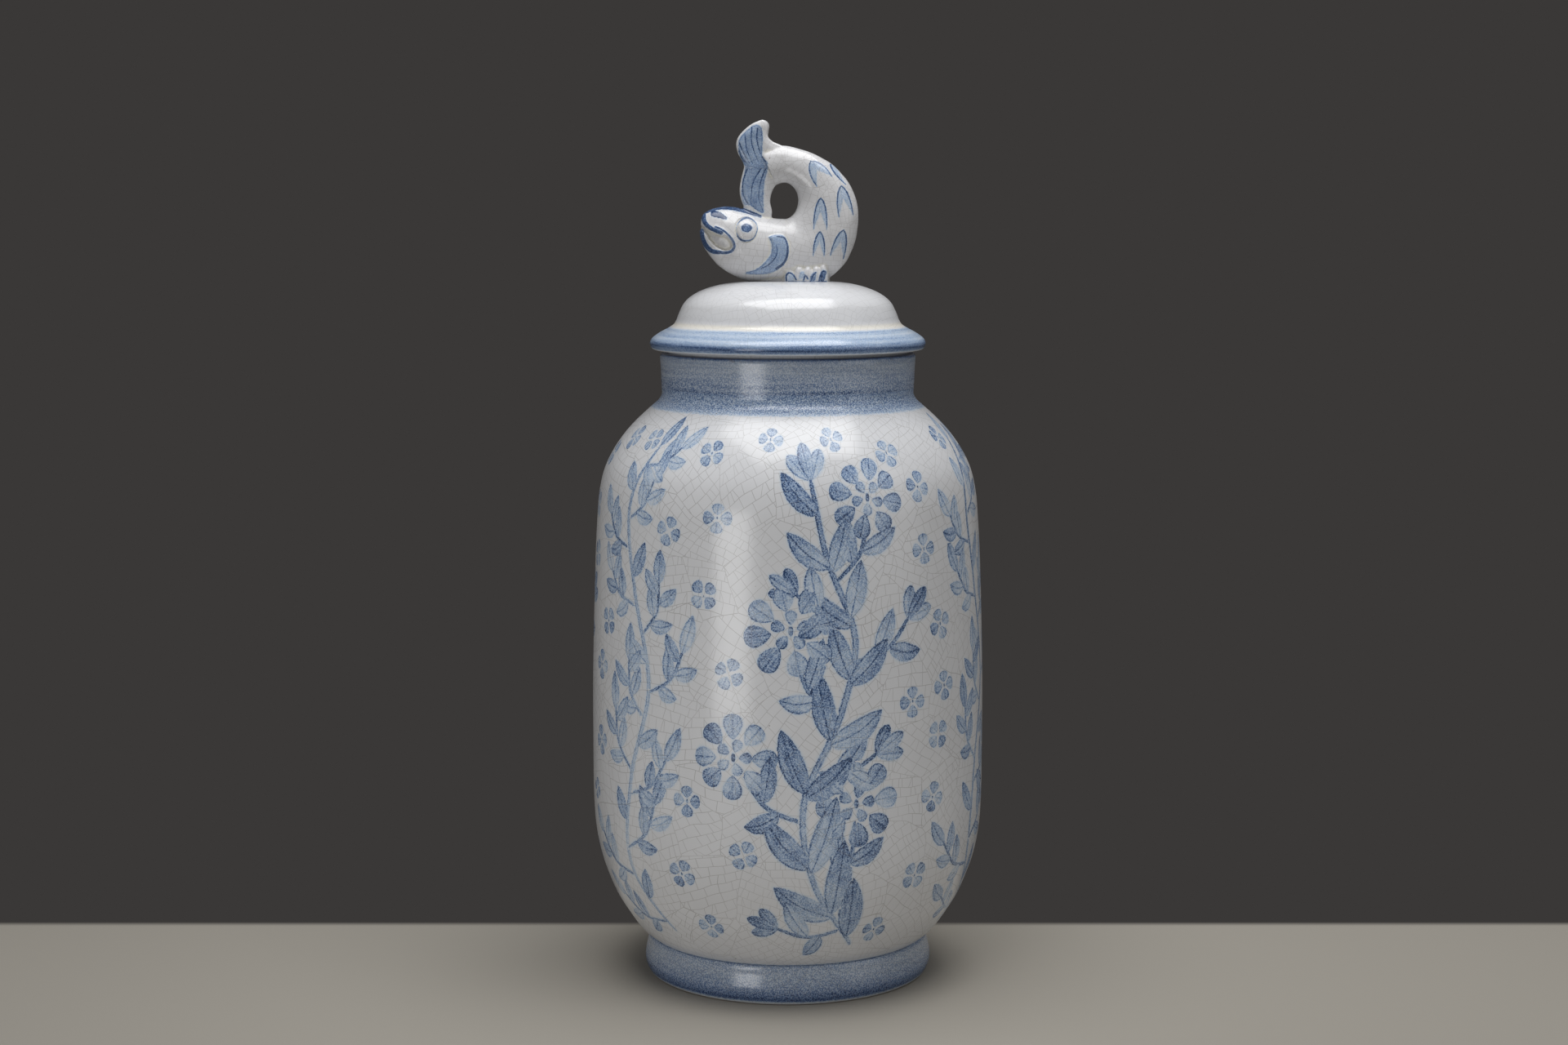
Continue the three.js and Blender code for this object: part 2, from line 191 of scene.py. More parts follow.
def read(parts: bpy.types.bpy_prop_collection, key: str, kind: type = np.int32, width: int = 1) -> np.ndarray:
    """Reads one property of all of a mesh's vertices, edges, faces or corners.

    Args:
        parts: The mesh's vertices, edges, polygons or loops.
        key: The property.
        kind: The type of its numbers.
        width: How many numbers it has.

    Returns:
        A row for each part, or one number where the width is 1.
    """
    values = np.zeros(len(parts) * width, kind)
    parts.foreach_get(key, values)
    return values.reshape(-1, width) if width > 1 else values


def vertex_places(mesh: bpy.types.Mesh) -> np.ndarray:
    """Gives a mesh's vertices as rows of X, Y and Z."""
    return read(mesh.vertices, "co", np.float32, 3).astype(float)


def set_attribute(mesh: bpy.types.Mesh, name: str, kind: str, domain: str, values: np.ndarray) -> None:
    """Stores values on a mesh for its material to read.

    Args:
        mesh: The mesh.
        name: The attribute's name.
        kind: FLOAT or FLOAT_VECTOR.
        domain: POINT, CORNER or FACE.
        values: One number or one row of three for each element.
    """
    attribute = mesh.attributes.new(name, kind, domain)
    key = "vector" if kind == "FLOAT_VECTOR" else "value"
    attribute.data.foreach_set(key, np.ascontiguousarray(values, np.float32).ravel())


def finished_piece(name: str, mesh: bpy.types.Mesh, materials: list, body: str, nodes: list[str]):
    """Turns a mesh in millimetres into a piece of the jar.

    Args:
        name: The piece's name.
        mesh: Its mesh, in millimetres.
        materials: Its materials.
        body: The body that it moves with.
        nodes: The solids that it stands for.

    Returns:
        The piece's object.
    """
    mesh.transform(Matrix.Scale(MM, 4))
    for material in materials:
        mesh.materials.append(material)
    piece = in_scene(name, mesh)
    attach(piece, body)
    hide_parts(*nodes)
    log.info("%s: %d faces, rides on %s", name, len(mesh.polygons), body)
    return piece


class Unrolling(Enum):
    """How a surface is laid flat for its crazing."""

    ROUND = "round the axis"
    SPREAD = "outwards from the top"
    SOLID = "through the clay"


@dataclass(frozen=True)
class Crazing:
    """The sizes of a glaze's crazing, in millimetres, and how strongly its lines show.

    Long cracks part the glaze into plates. Each plate is then crossed by courses, and each course by short
    cracks. Bends are pairs of how far apart they lie and how far they reach. A patch is an area of fainter or
    darker lines.
    """

    plate: float = 27.0
    course: float = 5.4
    brick: float = 6.9
    width: float = 0.27
    strength: float = 0.44
    split_share: float = 0.3
    lean: float = 1.7
    bends: tuple[tuple[float, float], ...] = ((50.0, 15.0), (12.0, 2.2))
    patch: float = 24.0


@dataclass(frozen=True)
class TinGlaze:
    """Opaque white tin glaze, dipped over earthenware and crazed as it cooled.

    To the eye it is a neutral white with a soft gloss, a faint orange peel, thin grey-brown crazing lines that
    end on each other, and a few iron specks. The cobalt in it, where there is any, is broken up by small pale
    flecks.
    """

    name: str
    white: str = "#D3D4D7"
    thick: str = "#DAD5CA"
    craze: str = "#625A53"
    iron: str = "#5B4A3E"
    roughness: float = 0.2
    peel_mm: float = 2.7
    peel_depth_mm: float = 0.011
    groove_mm: float = 0.02
    fleck_mm: float = 0.64
    grain: float = 0.36
    tone_mm: float = 38.0
    speck_mm: float = 16.0
    unrolling: Unrolling = Unrolling.ROUND
    unrolled_radius: float = 105.7
    cut_sway: float = 44.0
    net: Crazing = Crazing()
    cobalt: tuple[tuple[float, str], ...] = (
        (0.0, "#D4D5D6"),
        (0.16, "#BECAD8"),
        (0.36, "#9DB0C9"),
        (0.56, "#7C92B3"),
        (0.78, "#566E95"),
        (1.0, "#2E4468"),
    )

    def pigment(self, tree: Tree, place) -> tuple:
        """Gives the cobalt at a place.

        Args:
            tree: The material's tree.
            place: The place in millimetres.

        Returns:
            The cobalt's density, its pale bleed, and how strongly flecks break it up, each from 0 to 1.
        """
        return 0.0, 0.0, self.grain

    def pooling(self, tree: Tree, place):
        """Gives how thick and creamy the glaze lies at a place, from 0 to 1."""
        return 0.0

    def laid_flat(self, tree: Tree, place) -> tuple:
        """Lays a place flat for its crazing.

        A piece that is unrolled has to be cut open behind. The cut wavers like a crack, and is drawn as one.

        Args:
            tree: The material's tree.
            place: The place in millimetres.

        Returns:
            The flat place, and how far it lies from the cut.
        """
        if self.unrolling is Unrolling.SOLID:
            return place, FAR
        apart = tree.node("SeparateXYZ", place).node.outputs
        climb = tree.node("Attribute", out="Fac", attribute_name="climb")
        if self.unrolling is Unrolling.SPREAD:
            way = tree.node("CombineXYZ", apart["X"], apart["Y"], 0.0)
            way = tree.node("VectorMath", way, operation="NORMALIZE")
            return tree.node("VectorMath", way, at={"Scale": climb}, operation="SCALE"), FAR
        half = math.pi * self.unrolled_radius
        ahead = tree.node("Math", apart["Y"], -1.0, operation="MULTIPLY")
        angle = tree.node("Math", apart["X"], ahead, operation="ARCTAN2")
        waver = tree.node("TexNoise", at={"Vector": place, "Scale": 1 / self.tone_mm, "Detail": 3.0})
        waver = tree.node("Math", waver, self.cut_sway, operation="MULTIPLY")
        turned = tree.node("Math", angle, self.unrolled_radius, waver, operation="MULTIPLY_ADD")
        turned = tree.node("Math", turned, half, -half, operation="WRAP")
        cut = tree.node("Math", half, tree.node("Math", turned, operation="ABSOLUTE"), operation="SUBTRACT")
        turned = tree.node("Math", turned, waver, operation="SUBTRACT")
        return tree.node("CombineXYZ", turned, climb, 0.0), cut

    def crazing(self, tree: Tree, place):
        """Gives how strongly a crazing line shows at a place.

        Args:
            tree: The material's tree.
            place: The place in millimetres.

        Returns:
            A socket from 0 to 1.
        """
        net = self.net
        where, near = self.laid_flat(tree, place)
        for reach, size in net.bends:
            bend = tree.node("TexNoise", at={"Vector": place, "Scale": 1 / reach, "Detail": 0.0}, out="Color")
            bend = tree.node("VectorMath", bend, (0.5, 0.5, 0.5), operation="SUBTRACT")
            where = tree.node("VectorMath", bend, (size, size, size), where, operation="MULTIPLY_ADD")
        shape = "3D" if self.unrolling is Unrolling.SOLID else "2D"
        plates = {"Vector": where, "Scale": 1 / net.plate, "Randomness": 0.9}
        edge = tree.node("TexVoronoi", at=plates, feature="DISTANCE_TO_EDGE", voronoi_dimensions=shape)
        edge = tree.node("Math", edge, net.plate, operation="MULTIPLY")
        near = tree.node("Math", edge, near, operation="MINIMUM")
        plate = tree.node("TexVoronoi", at=plates, out="Color", voronoi_dimensions=shape)
        lean = tree.node("Math", tree.node("SeparateXYZ", plate), 0.5, operation="SUBTRACT")
        lean = tree.node("Math", lean, net.lean, operation="MULTIPLY")
        where = tree.node("VectorMath", plate, PLATE_SHIFT, where, operation="MULTIPLY_ADD")
        axis = "Y_AXIS" if shape == "3D" else "Z_AXIS"
        turned = tree.node("VectorRotate", where, at={"Angle": lean}, rotation_type=axis)
        apart = tree.node("SeparateXYZ", turned).node.outputs
        rise = apart["Z"] if shape == "3D" else apart["Y"]
        up = tree.node("Math", rise, 1 / net.course, operation="MULTIPLY")
        course = tree.node("Math", up, operation="FLOOR")
        chance = tree.node("TexWhiteNoise", at={"W": course}, out="Value", noise_dimensions="1D")
        wide = tree.node("MapRange", chance, 0.0, 1.0, 0.75 / net.brick, 1.3 / net.brick)
        shift = tree.node("Math", chance, COURSE_SHIFT, operation="MULTIPLY")
        across = tree.node("Math", apart["X"], wide, shift, operation="MULTIPLY_ADD")
        brick = tree.node("Math", across, operation="FLOOR")
        lot = tree.node("TexWhiteNoise", tree.node("CombineXYZ", course, brick, 0.0), out="Color")
        lot = tree.node("SeparateXYZ", lot).node.outputs
        rows = tree.node("Math", up, 0.5, operation="PINGPONG")
        rows = tree.node("Math", rows, net.course, operation="MULTIPLY")
        columns = tree.node("Math", across, 0.5, operation="PINGPONG")
        columns = tree.node("Math", columns, wide, operation="DIVIDE")
        inside = tree.node("Math", across, operation="FRACT")
        height = tree.node("Math", up, operation="FRACT")
        slant = tree.node("Math", lot["X"], -0.5, operation="ADD")
        start = tree.node("MapRange", lot["Y"], 0.0, 1.0, 0.35, 0.65)
        slant = tree.node("Math", slant, height, start, operation="MULTIPLY_ADD")
        halves = tree.node("Math", inside, slant, operation="SUBTRACT")
        halves = tree.node("Math", halves, operation="ABSOLUTE")
        halves = tree.node("Math", halves, wide, operation="DIVIDE")
        spared = tree.node("Math", lot["Z"], net.split_share, operation="GREATER_THAN")
        halves = tree.node("Math", spared, FAR, halves, operation="MULTIPLY_ADD")
        for distance in (rows, columns, halves):
            near = tree.node("Math", near, distance, operation="MINIMUM")
        patchy = tree.node("TexNoise", at={"Vector": place, "Scale": 1 / net.patch, "Detail": 3.0})
        patchy = tree.node("MapRange", patchy, 0.35, 0.6, 0.6 * net.strength, net.strength)
        line = tree.node("MapRange", near, net.width * 0.25, net.width * 0.7, 1.0, 0.0,
                         interpolation_type="SMOOTHSTEP")
        return tree.node("Math", line, patchy, operation="MULTIPLY")

    def material(self) -> bpy.types.Material:
        """Builds the finish.

        Returns:
            The material.
        """
        made = bpy.data.materials.new(self.name)
        tree = blank_tree(made)
        place = millimetres(tree)

        tone = tree.node("TexNoise", at={"Vector": place, "Scale": 1 / self.tone_mm, "Detail": 4.0})
        tone = tree.node("MapRange", tone, 0.3, 0.7, 0.965, 1.02)
        glaze = tree.node("Mix", at={0: self.pooling(tree, place), 6: linear(self.white), 7: linear(self.thick)},
                          out=2, data_type="RGBA")
        glaze = tree.node("VectorMath", glaze, at={"Scale": tone}, operation="SCALE")

        density, bleed, grain = self.pigment(tree, place)
        fleck = tree.node("TexNoise", at={"Vector": place, "Scale": 1 / self.fleck_mm, "Detail": 1.5})
        fleck = tree.node("MapRange", fleck, 0.38, 0.62, -1.0, 1.0, interpolation_type="SMOOTHSTEP")
        kept = tree.node("Math", fleck, grain, 1.0, operation="MULTIPLY_ADD")
        density = tree.node("Math", density, kept, operation="MULTIPLY", use_clamp=True)
        density = tree.node("Math", density, bleed, operation="MAXIMUM")
        ramp = tree.node("ValToRGB", density)
        stops = ramp.node.color_ramp.elements
        for position, colour in self.cobalt[1:-1]:
            stops.new(position).color = linear(colour)
        stops[0].color = linear(self.cobalt[0][1])
        stops[-1].color = linear(self.cobalt[-1][1])
        shown = tree.node("MapRange", density, 0.0, 0.12, 0.0, 1.0)
        colour = tree.node("Mix", at={0: shown, 6: glaze, 7: ramp}, out=2, data_type="RGBA")

        craze = self.crazing(tree, place)
        colour = tree.node("Mix", at={0: craze, 6: colour, 7: linear(self.craze)}, out=2, data_type="RGBA")
        specks = tree.node("TexVoronoi", at={"Vector": place, "Scale": 1 / self.speck_mm, "Randomness": 1.0})
        specks = tree.node("MapRange", specks, 0.016, 0.028, 0.6, 0.0, interpolation_type="SMOOTHSTEP")
        colour = tree.node("Mix", at={0: specks, 6: colour, 7: linear(self.iron)}, out=2, data_type="RGBA")

        peel = {"Vector": place, "Scale": 1 / self.peel_mm, "Detail": 2.0, "Roughness": 0.4}
        peel = tree.node("TexNoise", at=peel)
        peel = tree.node("Math", peel, self.peel_depth_mm, operation="MULTIPLY")
        groove = tree.node("Math", craze, -self.groove_mm, peel, operation="MULTIPLY_ADD")
        normal = tree.node("Bump", at={"Strength": 1.0, "Distance": MM, "Height": groove})
        matt = tree.node("TexNoise", at={"Vector": place, "Scale": 1 / self.speck_mm, "Detail": 3.0})
        rough = tree.node("MapRange", matt, 0.3, 0.7, self.roughness * 0.85, self.roughness * 1.2)
        shader = tree.node("BsdfPrincipled", at={
            "Base Color": colour,
            "Roughness": rough,
            "IOR": 1.5,
            "Normal": normal,
        })
        tree.node("OutputMaterial", shader)
        return made


@dataclass(frozen=True)
class BandedGlaze(TinGlaze):
    """Tin glaze with bands of cobalt, laid with a broad brush while the piece turned on the wheel.

    The bands are streaked round the piece, darker where the brush paused and on edges, and ragged at their
    borders. A table of bands may also end in a near-black strip of painted shadow, as the jar's does at the
    top of its neck, in the gap under the lid's brim.
    """

    bands: tuple[tuple[float, float, float], ...] = ((0, 0, 0), (1, 0, 0))
    inner_radius: float = 0.0
    ragged_mm: float = 1.6
    border_mm: float = 1.8
    streak_scale: tuple[float, float, float] = (0.018, 0.018, 0.55)
    streaks: float = 0.3
    cream: tuple[float, float] = (0.0, 0.0)

    def pigment(self, tree: Tree, place) -> tuple:
        """Gives the bands' cobalt at a place. See TinGlaze.pigment."""
        apart = tree.node("SeparateXYZ", place, out="Z").node.outputs
        radius = tree.node("CombineXYZ", apart["X"], apart["Y"], 0.0)
        radius = tree.node("VectorMath", radius, operation="LENGTH", out="Value")
        outside = tree.node("MapRange", radius, self.inner_radius, self.inner_radius + 2.5, 0.0, 1.0)
        fray = {"Vector": place, "Scale": 1 / self.border_mm, "Detail": 3.0, "Roughness": 0.7}
        fray = tree.node("TexNoise", at=fray)
        height = tree.node("Math", fray, self.ragged_mm, apart["Z"], operation="MULTIPLY_ADD")
        height = tree.node("Math", height, self.ragged_mm / 2, operation="SUBTRACT")
        low, high = self.bands[0][0], self.bands[-1][0]
        share = tree.node("MapRange", height, low, high, 0.0, 1.0)
        ramp = tree.node("ValToRGB", share)
        stops = ramp.node.color_ramp.elements
        for z, density, grain in self.bands[1:-1]:
            stops.new((z - low) / (high - low)).color = (density, grain, 0, 1)
        stops[0].color = (*self.bands[0][1:], 0, 1)
        stops[-1].color = (*self.bands[-1][1:], 0, 1)
        laid = tree.node("SeparateXYZ", ramp).node.outputs
        flat = tree.node("VectorMath", place, self.streak_scale, operation="MULTIPLY")
        streak = tree.node("TexNoise", at={"Vector": flat, "Scale": 1.0, "Detail": 4.0, "Roughness": 0.6})
        streak = tree.node("MapRange", streak, 0.28, 0.72, 1 - self.streaks, 1 + self.streaks)
        density = tree.node("Math", laid["X"], streak, operation="MULTIPLY")
        density = tree.node("Math", density, outside, operation="MULTIPLY")
        return density, 0.0, laid["Y"]

    def pooling(self, tree: Tree, place):
        """Gives the creamy glaze that collects in a crease, from 0 to 1."""
        low, high = self.cream
        if high <= low:
            return 0.0
        height = tree.node("SeparateXYZ", place, out="Z")
        middle = tree.node("Math", height, (low + high) / 2, operation="SUBTRACT")
        away = tree.node("Math", middle, operation="ABSOLUTE")
        return tree.node("MapRange", away, 0.0, (high - low) / 2, 1.0, 0.0, interpolation_type="SMOOTHSTEP")


class Coat(Enum):
    """The turns in which brush strokes are laid, so that strokes that meet don't share a turn."""

    STEMS = "stems"
    LEFT = "left"
    RIGHT = "right"


@dataclass(frozen=True)
class BrushedGlaze(BandedGlaze):
    """Tin glaze with plants brushed on in cobalt: a thin wash, a darker outline, and a vein drawn with the tip.

    Each stroke is read from attributes that say how far along and across it a point of the surface lies. The
    outline lies a rim's width inside the edge, and the wash is darker towards the tip, where the brush was lifted.
    """

    fray_mm: float = 1.5
    cloud_mm: float = 8.0
    rim_mm: float = 0.55
    ink: float = 0.34
    tip_ink: float = 0.26
    unevenness: float = 0.16

    def stroke(self, tree: Tree, coat: Coat, fray, cloud) -> tuple:
        """Gives one coat's strokes.

        Args:
            tree: The material's tree.
            coat: The coat.
            fray: A fine noise that frays edges.
            cloud: A broader noise that thins washes.

        Returns:
            The cobalt's density, how far it covers what lies below, and its bleed.
        """
        sizes = {}
        for part in ("place", "form", "tone"):
            vector = tree.node("Attribute", out="Vector", attribute_name=f"{coat.value}_{part}")
            sizes[part] = tree.node("SeparateXYZ", vector).node.outputs
        along, across, half = sizes["place"]
        length, skew, roundness = sizes["form"]
        strength, vein, seed = sizes["tone"]
        held = tree.node("Math", along, 0.0, operation="ADD", use_clamp=True)
        bent = tree.node("Math", held, skew, operation="POWER")
        rest = tree.node("Math", 1.0, bent, operation="SUBTRACT")
        swell = tree.node("Math", bent, rest, operation="MULTIPLY")
        swell = tree.node("Math", swell, 4.0, operation="MULTIPLY", use_clamp=True)
        swell = tree.node("Math", swell, roundness, operation="POWER")
        over = tree.node("Math", along, held, operation="SUBTRACT")
        over = tree.node("Math", over, length, operation="MULTIPLY")
        away = tree.node("CombineXYZ", across, over, 0.0)
        away = tree.node("VectorMath", away, operation="LENGTH", out="Value")
        edge = tree.node("Math", half, swell, operation="MULTIPLY")
        edge = tree.node("Math", edge, away, operation="SUBTRACT")
        rough = tree.node("Math", fray, 1.3, edge, operation="MULTIPLY_ADD")
        cover = tree.node("MapRange", rough, -0.25, 0.3, 0.0, 1.0, interpolation_type="SMOOTHSTEP")
        rim = tree.node("Math", rough, self.rim_mm, operation="SUBTRACT")
        rim = tree.node("Math", rim, operation="ABSOLUTE")
        rim = tree.node("MapRange", rim, 0.15, 0.75, 1.0, 0.0, interpolation_type="SMOOTHSTEP")
        loaded = tree.node("MapRange", across, -1.5, 1.5, 0.25, 1.0)
        rim = tree.node("Math", rim, loaded, operation="MULTIPLY")
        middle = tree.node("Math", across, operation="ABSOLUTE")
        middle = tree.node("Math", fray, 0.6, middle, operation="MULTIPLY_ADD")
        middle = tree.node("MapRange", middle, 0.2, 0.6, 1.0, 0.0, interpolation_type="SMOOTHSTEP")
        middle = tree.node("Math", middle, vein, operation="MULTIPLY")
        dry = tree.node("Math", seed, self.unevenness, cloud, operation="MULTIPLY_ADD")
        tip = tree.node("Math", held, held, operation="MULTIPLY")
        wash = tree.node("Math", tip, self.tip_ink, dry, operation="MULTIPLY_ADD")
        travel = tree.node("Math", along, length, operation="MULTIPLY")
        inked = tree.node("Math", rim, middle, operation="MAXIMUM")
        hairs = tree.node("CombineXYZ", travel, across, seed)
        hairs = tree.node("VectorMath", hairs, (0.07, 0.8, 40.0), operation="MULTIPLY")
        hairs = tree.node("TexNoise", at={"Vector": hairs, "Scale": 1.0, "Detail": 1.0})
        hairs = tree.node("MapRange", hairs, 0.3, 0.7, 0.75, 1.25)
        wash = tree.node("Math", wash, hairs, operation="MULTIPLY")
        inked = tree.node("Math", inked, self.ink, wash, operation="MULTIPLY_ADD")
        density = tree.node("Math", inked, strength, operation="MULTIPLY")
        painted = tree.node("Math", strength, 0.05, operation="GREATER_THAN")
        cover = tree.node("Math", cover, painted, operation="MULTIPLY")
        bleed = tree.node("MapRange", edge, -BLEED_MM, 0.2, 0.0, 0.12, interpolation_type="SMOOTHSTEP")
        bleed = tree.node("Math", bleed, strength, operation="MULTIPLY")
        return density, cover, bleed

    def pigment(self, tree: Tree, place) -> tuple:
        """Gives the strokes' and the bands' cobalt at a place. See TinGlaze.pigment."""
        density, bleed, grain = BandedGlaze.pigment(self, tree, place)
        fray = {"Vector": place, "Scale": 1 / self.fray_mm, "Detail": 2.0, "Roughness": 0.6}
        fray = tree.node("TexNoise", at=fray)
        fray = tree.node("Math", fray, 0.5, operation="SUBTRACT")
        cloud = tree.node("TexNoise", at={"Vector": place, "Scale": 1 / self.cloud_mm, "Detail": 2.0})
        cloud = tree.node("MapRange", cloud, 0.3, 0.7, 0.24, 0.44)
        for coat in Coat:
            laid, cover, spread = self.stroke(tree, coat, fray, cloud)
            density = tree.node("MapRange", cover, 0.0, 1.0, density, laid)
            bleed = tree.node("Math", bleed, spread, operation="MAXIMUM")
        return density, bleed, grain


@dataclass(frozen=True)
class ModelledGlaze(TinGlaze):
    """Tin glaze over hand-modelled clay, with cobalt washes and lines, creamy where it collects in hollows."""

    fray_mm: float = 1.2
    cloud_mm: float = 5.0

    def pigment(self, tree: Tree, place) -> tuple:
        """Gives the washes' and lines' cobalt at a place. See TinGlaze.pigment."""
        fray = {"Vector": place, "Scale": 1 / self.fray_mm, "Detail": 2.0, "Roughness": 0.6}
        fray = tree.node("TexNoise", at=fray)
        fray = tree.node("Math", fray, 0.5, operation="SUBTRACT")
        cloud = tree.node("TexNoise", at={"Vector": place, "Scale": 1 / self.cloud_mm, "Detail": 3.0})
        cloud = tree.node("MapRange", cloud, 0.3, 0.7, 0.38, 0.62)
        wash = tree.node("Attribute", out="Fac", attribute_name="wash")
        load = tree.node("Attribute", out="Fac", attribute_name="load")
        wash = tree.node("Math", fray, 1.1, wash, operation="MULTIPLY_ADD")
        bleed = tree.node("MapRange", wash, -1.4, 0.2, 0.0, 0.1, interpolation_type="SMOOTHSTEP")
        rim = tree.node("Math", wash, 0.35, operation="SUBTRACT")
        rim = tree.node("MapRange", tree.node("Math", rim, operation="ABSOLUTE"), 0.0, 0.6, 0.16, 0.0)
        laid = tree.node("MapRange", wash, -0.25, 0.3, 0.0, 1.0, interpolation_type="SMOOTHSTEP")
        cloud = tree.node("Math", cloud, rim, operation="ADD")
        laid = tree.node("Math", laid, cloud, operation="MULTIPLY")
        laid = tree.node("Math", laid, load, operation="MULTIPLY")
        line = tree.node("Attribute", out="Fac", attribute_name="line")
        line = tree.node("Math", fray, 0.5, line, operation="MULTIPLY_ADD")
        line = tree.node("MapRange", line, -0.3, 0.25, 0.0, 0.95, interpolation_type="SMOOTHSTEP")
        return tree.node("Math", laid, line, operation="MAXIMUM"), bleed, self.grain

    def pooling(self, tree: Tree, place):
        """Gives the creamy glaze in the modelling's hollows, from 0 to 1."""
        hollow = tree.node("Attribute", out="Fac", attribute_name="hollow")
        return tree.node("MapRange", hollow, 0.02, 0.25, 0.0, 1.0, interpolation_type="SMOOTHSTEP")


@dataclass(frozen=True)
class BiscuitClay:
    """Fired earthenware without glaze, wiped clean where the foot stands: matt, reddish brown and gritty."""

    name: str
    clay: str = "#8E5F48"
    dark: str = "#6A4636"
    grit_mm: float = 0.8
    grit_depth_mm: float = 0.08

    def material(self) -> bpy.types.Material:
        """Builds the finish.

        Returns:
            The material.
        """
        made = bpy.data.materials.new(self.name)
        tree = blank_tree(made)
        place = millimetres(tree)
        grit = tree.node("TexNoise", at={"Vector": place, "Scale": 1 / self.grit_mm, "Detail": 3.0})
        shades = {0: grit, 6: linear(self.dark), 7: linear(self.clay)}
        colour = tree.node("Mix", at=shades, out=2, data_type="RGBA")
        normal = tree.node("Bump", at={"Strength": 1.0, "Distance": MM * self.grit_depth_mm, "Height": grit})
        shader = tree.node("BsdfPrincipled", at={"Base Color": colour, "Roughness": 0.85, "Normal": normal})
        tree.node("OutputMaterial", shader)
        return made


@dataclass
class ThrownForm:
    """A form turned on the wheel: a closed section swept once round the jar's axis."""

    segments: int = 384
    sharp_degrees: float = 50.0
    wobble_mm: float = 0.12
    wobble_round: float = 70.0
    wobble_up: float = 45.0

    def turn(self, name: str, section: Points) -> bpy.types.Mesh:
        """Turns a closed section.

        Args:
            name: The mesh's name.
            section: The section's corners as (radius, height), once round it. Points with no radius lie on the
                axis.

        Returns:
            The mesh, in millimetres.
        """
        form = bmesh.new()
        corners = [form.verts.new((radius, 0, height)) for radius, height in section]
        edges = [form.edges.new(pair) for pair in zip(corners, corners[1:])]
        if section[0][0] > 0:
            edges.append(form.edges.new((corners[-1], corners[0])))
        bmesh.ops.spin(form, geom=corners + edges, cent=(0, 0, 0), axis=(0, 0, 1), angle=FULL_TURN,
                       steps=self.segments, use_merge=True)
        bmesh.ops.remove_doubles(form, verts=form.verts, dist=1e-4)
        bmesh.ops.recalc_face_normals(form, faces=form.faces)
        for corner in form.verts:
            spot = corner.co
            reach = math.hypot(spot.x, spot.y)
            if reach > 1:
                slow = Vector((spot.x / self.wobble_round, spot.y / self.wobble_round, spot.z / self.wobble_up))
                sway = self.wobble_mm * noise.noise(slow) * min(spot.z / 20, 1)
                spot.x += spot.x / reach * sway
                spot.y += spot.y / reach * sway
        mesh = mesh_of(name, form)
        mesh.polygons.foreach_set("use_smooth", [True] * len(mesh.polygons))
        mesh.set_sharp_from_angle(angle=math.radians(self.sharp_degrees))
        return mesh


def mark_climb(mesh: bpy.types.Mesh, outline: Points, spread: bool) -> None:
    """Stores how far along its outline each point of a turned piece lies, for crazing that is laid flat.

    The distance is stretched where the piece is narrow, as the way round it is, so that cells keep their shape.

    Args:
        mesh: The turned mesh, in millimetres.
        outline: The whole outline that it belongs to, as radius and height.
        spread: Whether the way is counted outwards from the top instead of up from the foot.
    """
    radii, heights = np.array(outline).T
    steps = np.hypot(np.diff(radii), np.diff(heights))
    middles = np.maximum((radii[1:] + radii[:-1]) / 2, 1.0)
    places = vertex_places(mesh)
    reach = np.hypot(places[:, 0], places[:, 1])
    if spread:
        edge = radii.argmax()
        crown = 20.0
        flat = radii > crown
        growth = np.concatenate([[0], np.cumsum(steps / middles * flat[1:])])
        travelled = np.where(flat, crown * np.exp(growth), radii)
        passed = np.where(heights < heights[edge], 2 * radii[edge] - radii, radii)
        order = np.argsort(passed)
        asked = np.where(places[:, 2] < heights[edge], 2 * radii[edge] - reach, reach)
        climb = np.interp(asked, passed[order], travelled[order])
    else:
        travelled = np.concatenate([[0], np.cumsum(steps / middles)]) * radii.max()
        climb = np.interp(places[:, 2], heights, travelled)
    set_attribute(mesh, "climb", "FLOAT", "POINT", climb)


@dataclass
class Stroke:
    """One brush stroke on the unrolled wall."""

    axis: np.ndarray
    half_width: float
    coat: Coat
    skew: float = 1.0
    roundness: float = 0.15
    vein: float = 0.0
    strength: float = 1.0
    seed: float = 0.0

    def measure(self, spots: np.ndarray) -> tuple[np.ndarray, np.ndarray]:
        """Measures where spots lie on the stroke.

        Args:
            spots: Places on the unrolled wall, as rows of round and up in millimetres.

        Returns:
            The share of the way along the stroke, and the distance across it, for each spot.
        """
        starts, ends = self.axis[:-1], self.axis[1:]
        steps = ends - starts
        lengths = np.linalg.norm(steps, axis=1)
        ways = steps / lengths[:, None]
        offsets = spots[:, None] - starts
        along = (offsets * ways).sum(2)
        across = offsets[:, :, 1] * ways[:, 0] - offsets[:, :, 0] * ways[:, 1]
        held = np.clip(along, 0, lengths)
        nearest = np.argmin((along - held) ** 2 + across**2, axis=1)
        rows = np.arange(len(spots))
        low = np.where(nearest == 0, -np.inf, 0)
        high = np.where(nearest == len(starts) - 1, np.inf, lengths[nearest])
        before = np.concatenate([[0], np.cumsum(lengths)[:-1]])[nearest]
        travelled = before + np.clip(along[rows, nearest], low, high)
        return travelled / lengths.sum(), across[rows, nearest]

    def length(self) -> float:
        """The stroke's length in millimetres."""
        return float(np.linalg.norm(np.diff(self.axis, axis=0), axis=1).sum())

    def edge_distance(self, along: np.ndarray, across: np.ndarray) -> np.ndarray:
        """Gives how far inside the stroke's edge each measured spot lies, in millimetres."""
        held = np.clip(along, 0, 1)
        bent = held**self.skew
        swell = np.clip(4 * bent * (1 - bent), 0, 1) ** self.roundness
        over = (along - held) * self.length()
        return self.half_width * swell - np.hypot(across, over)


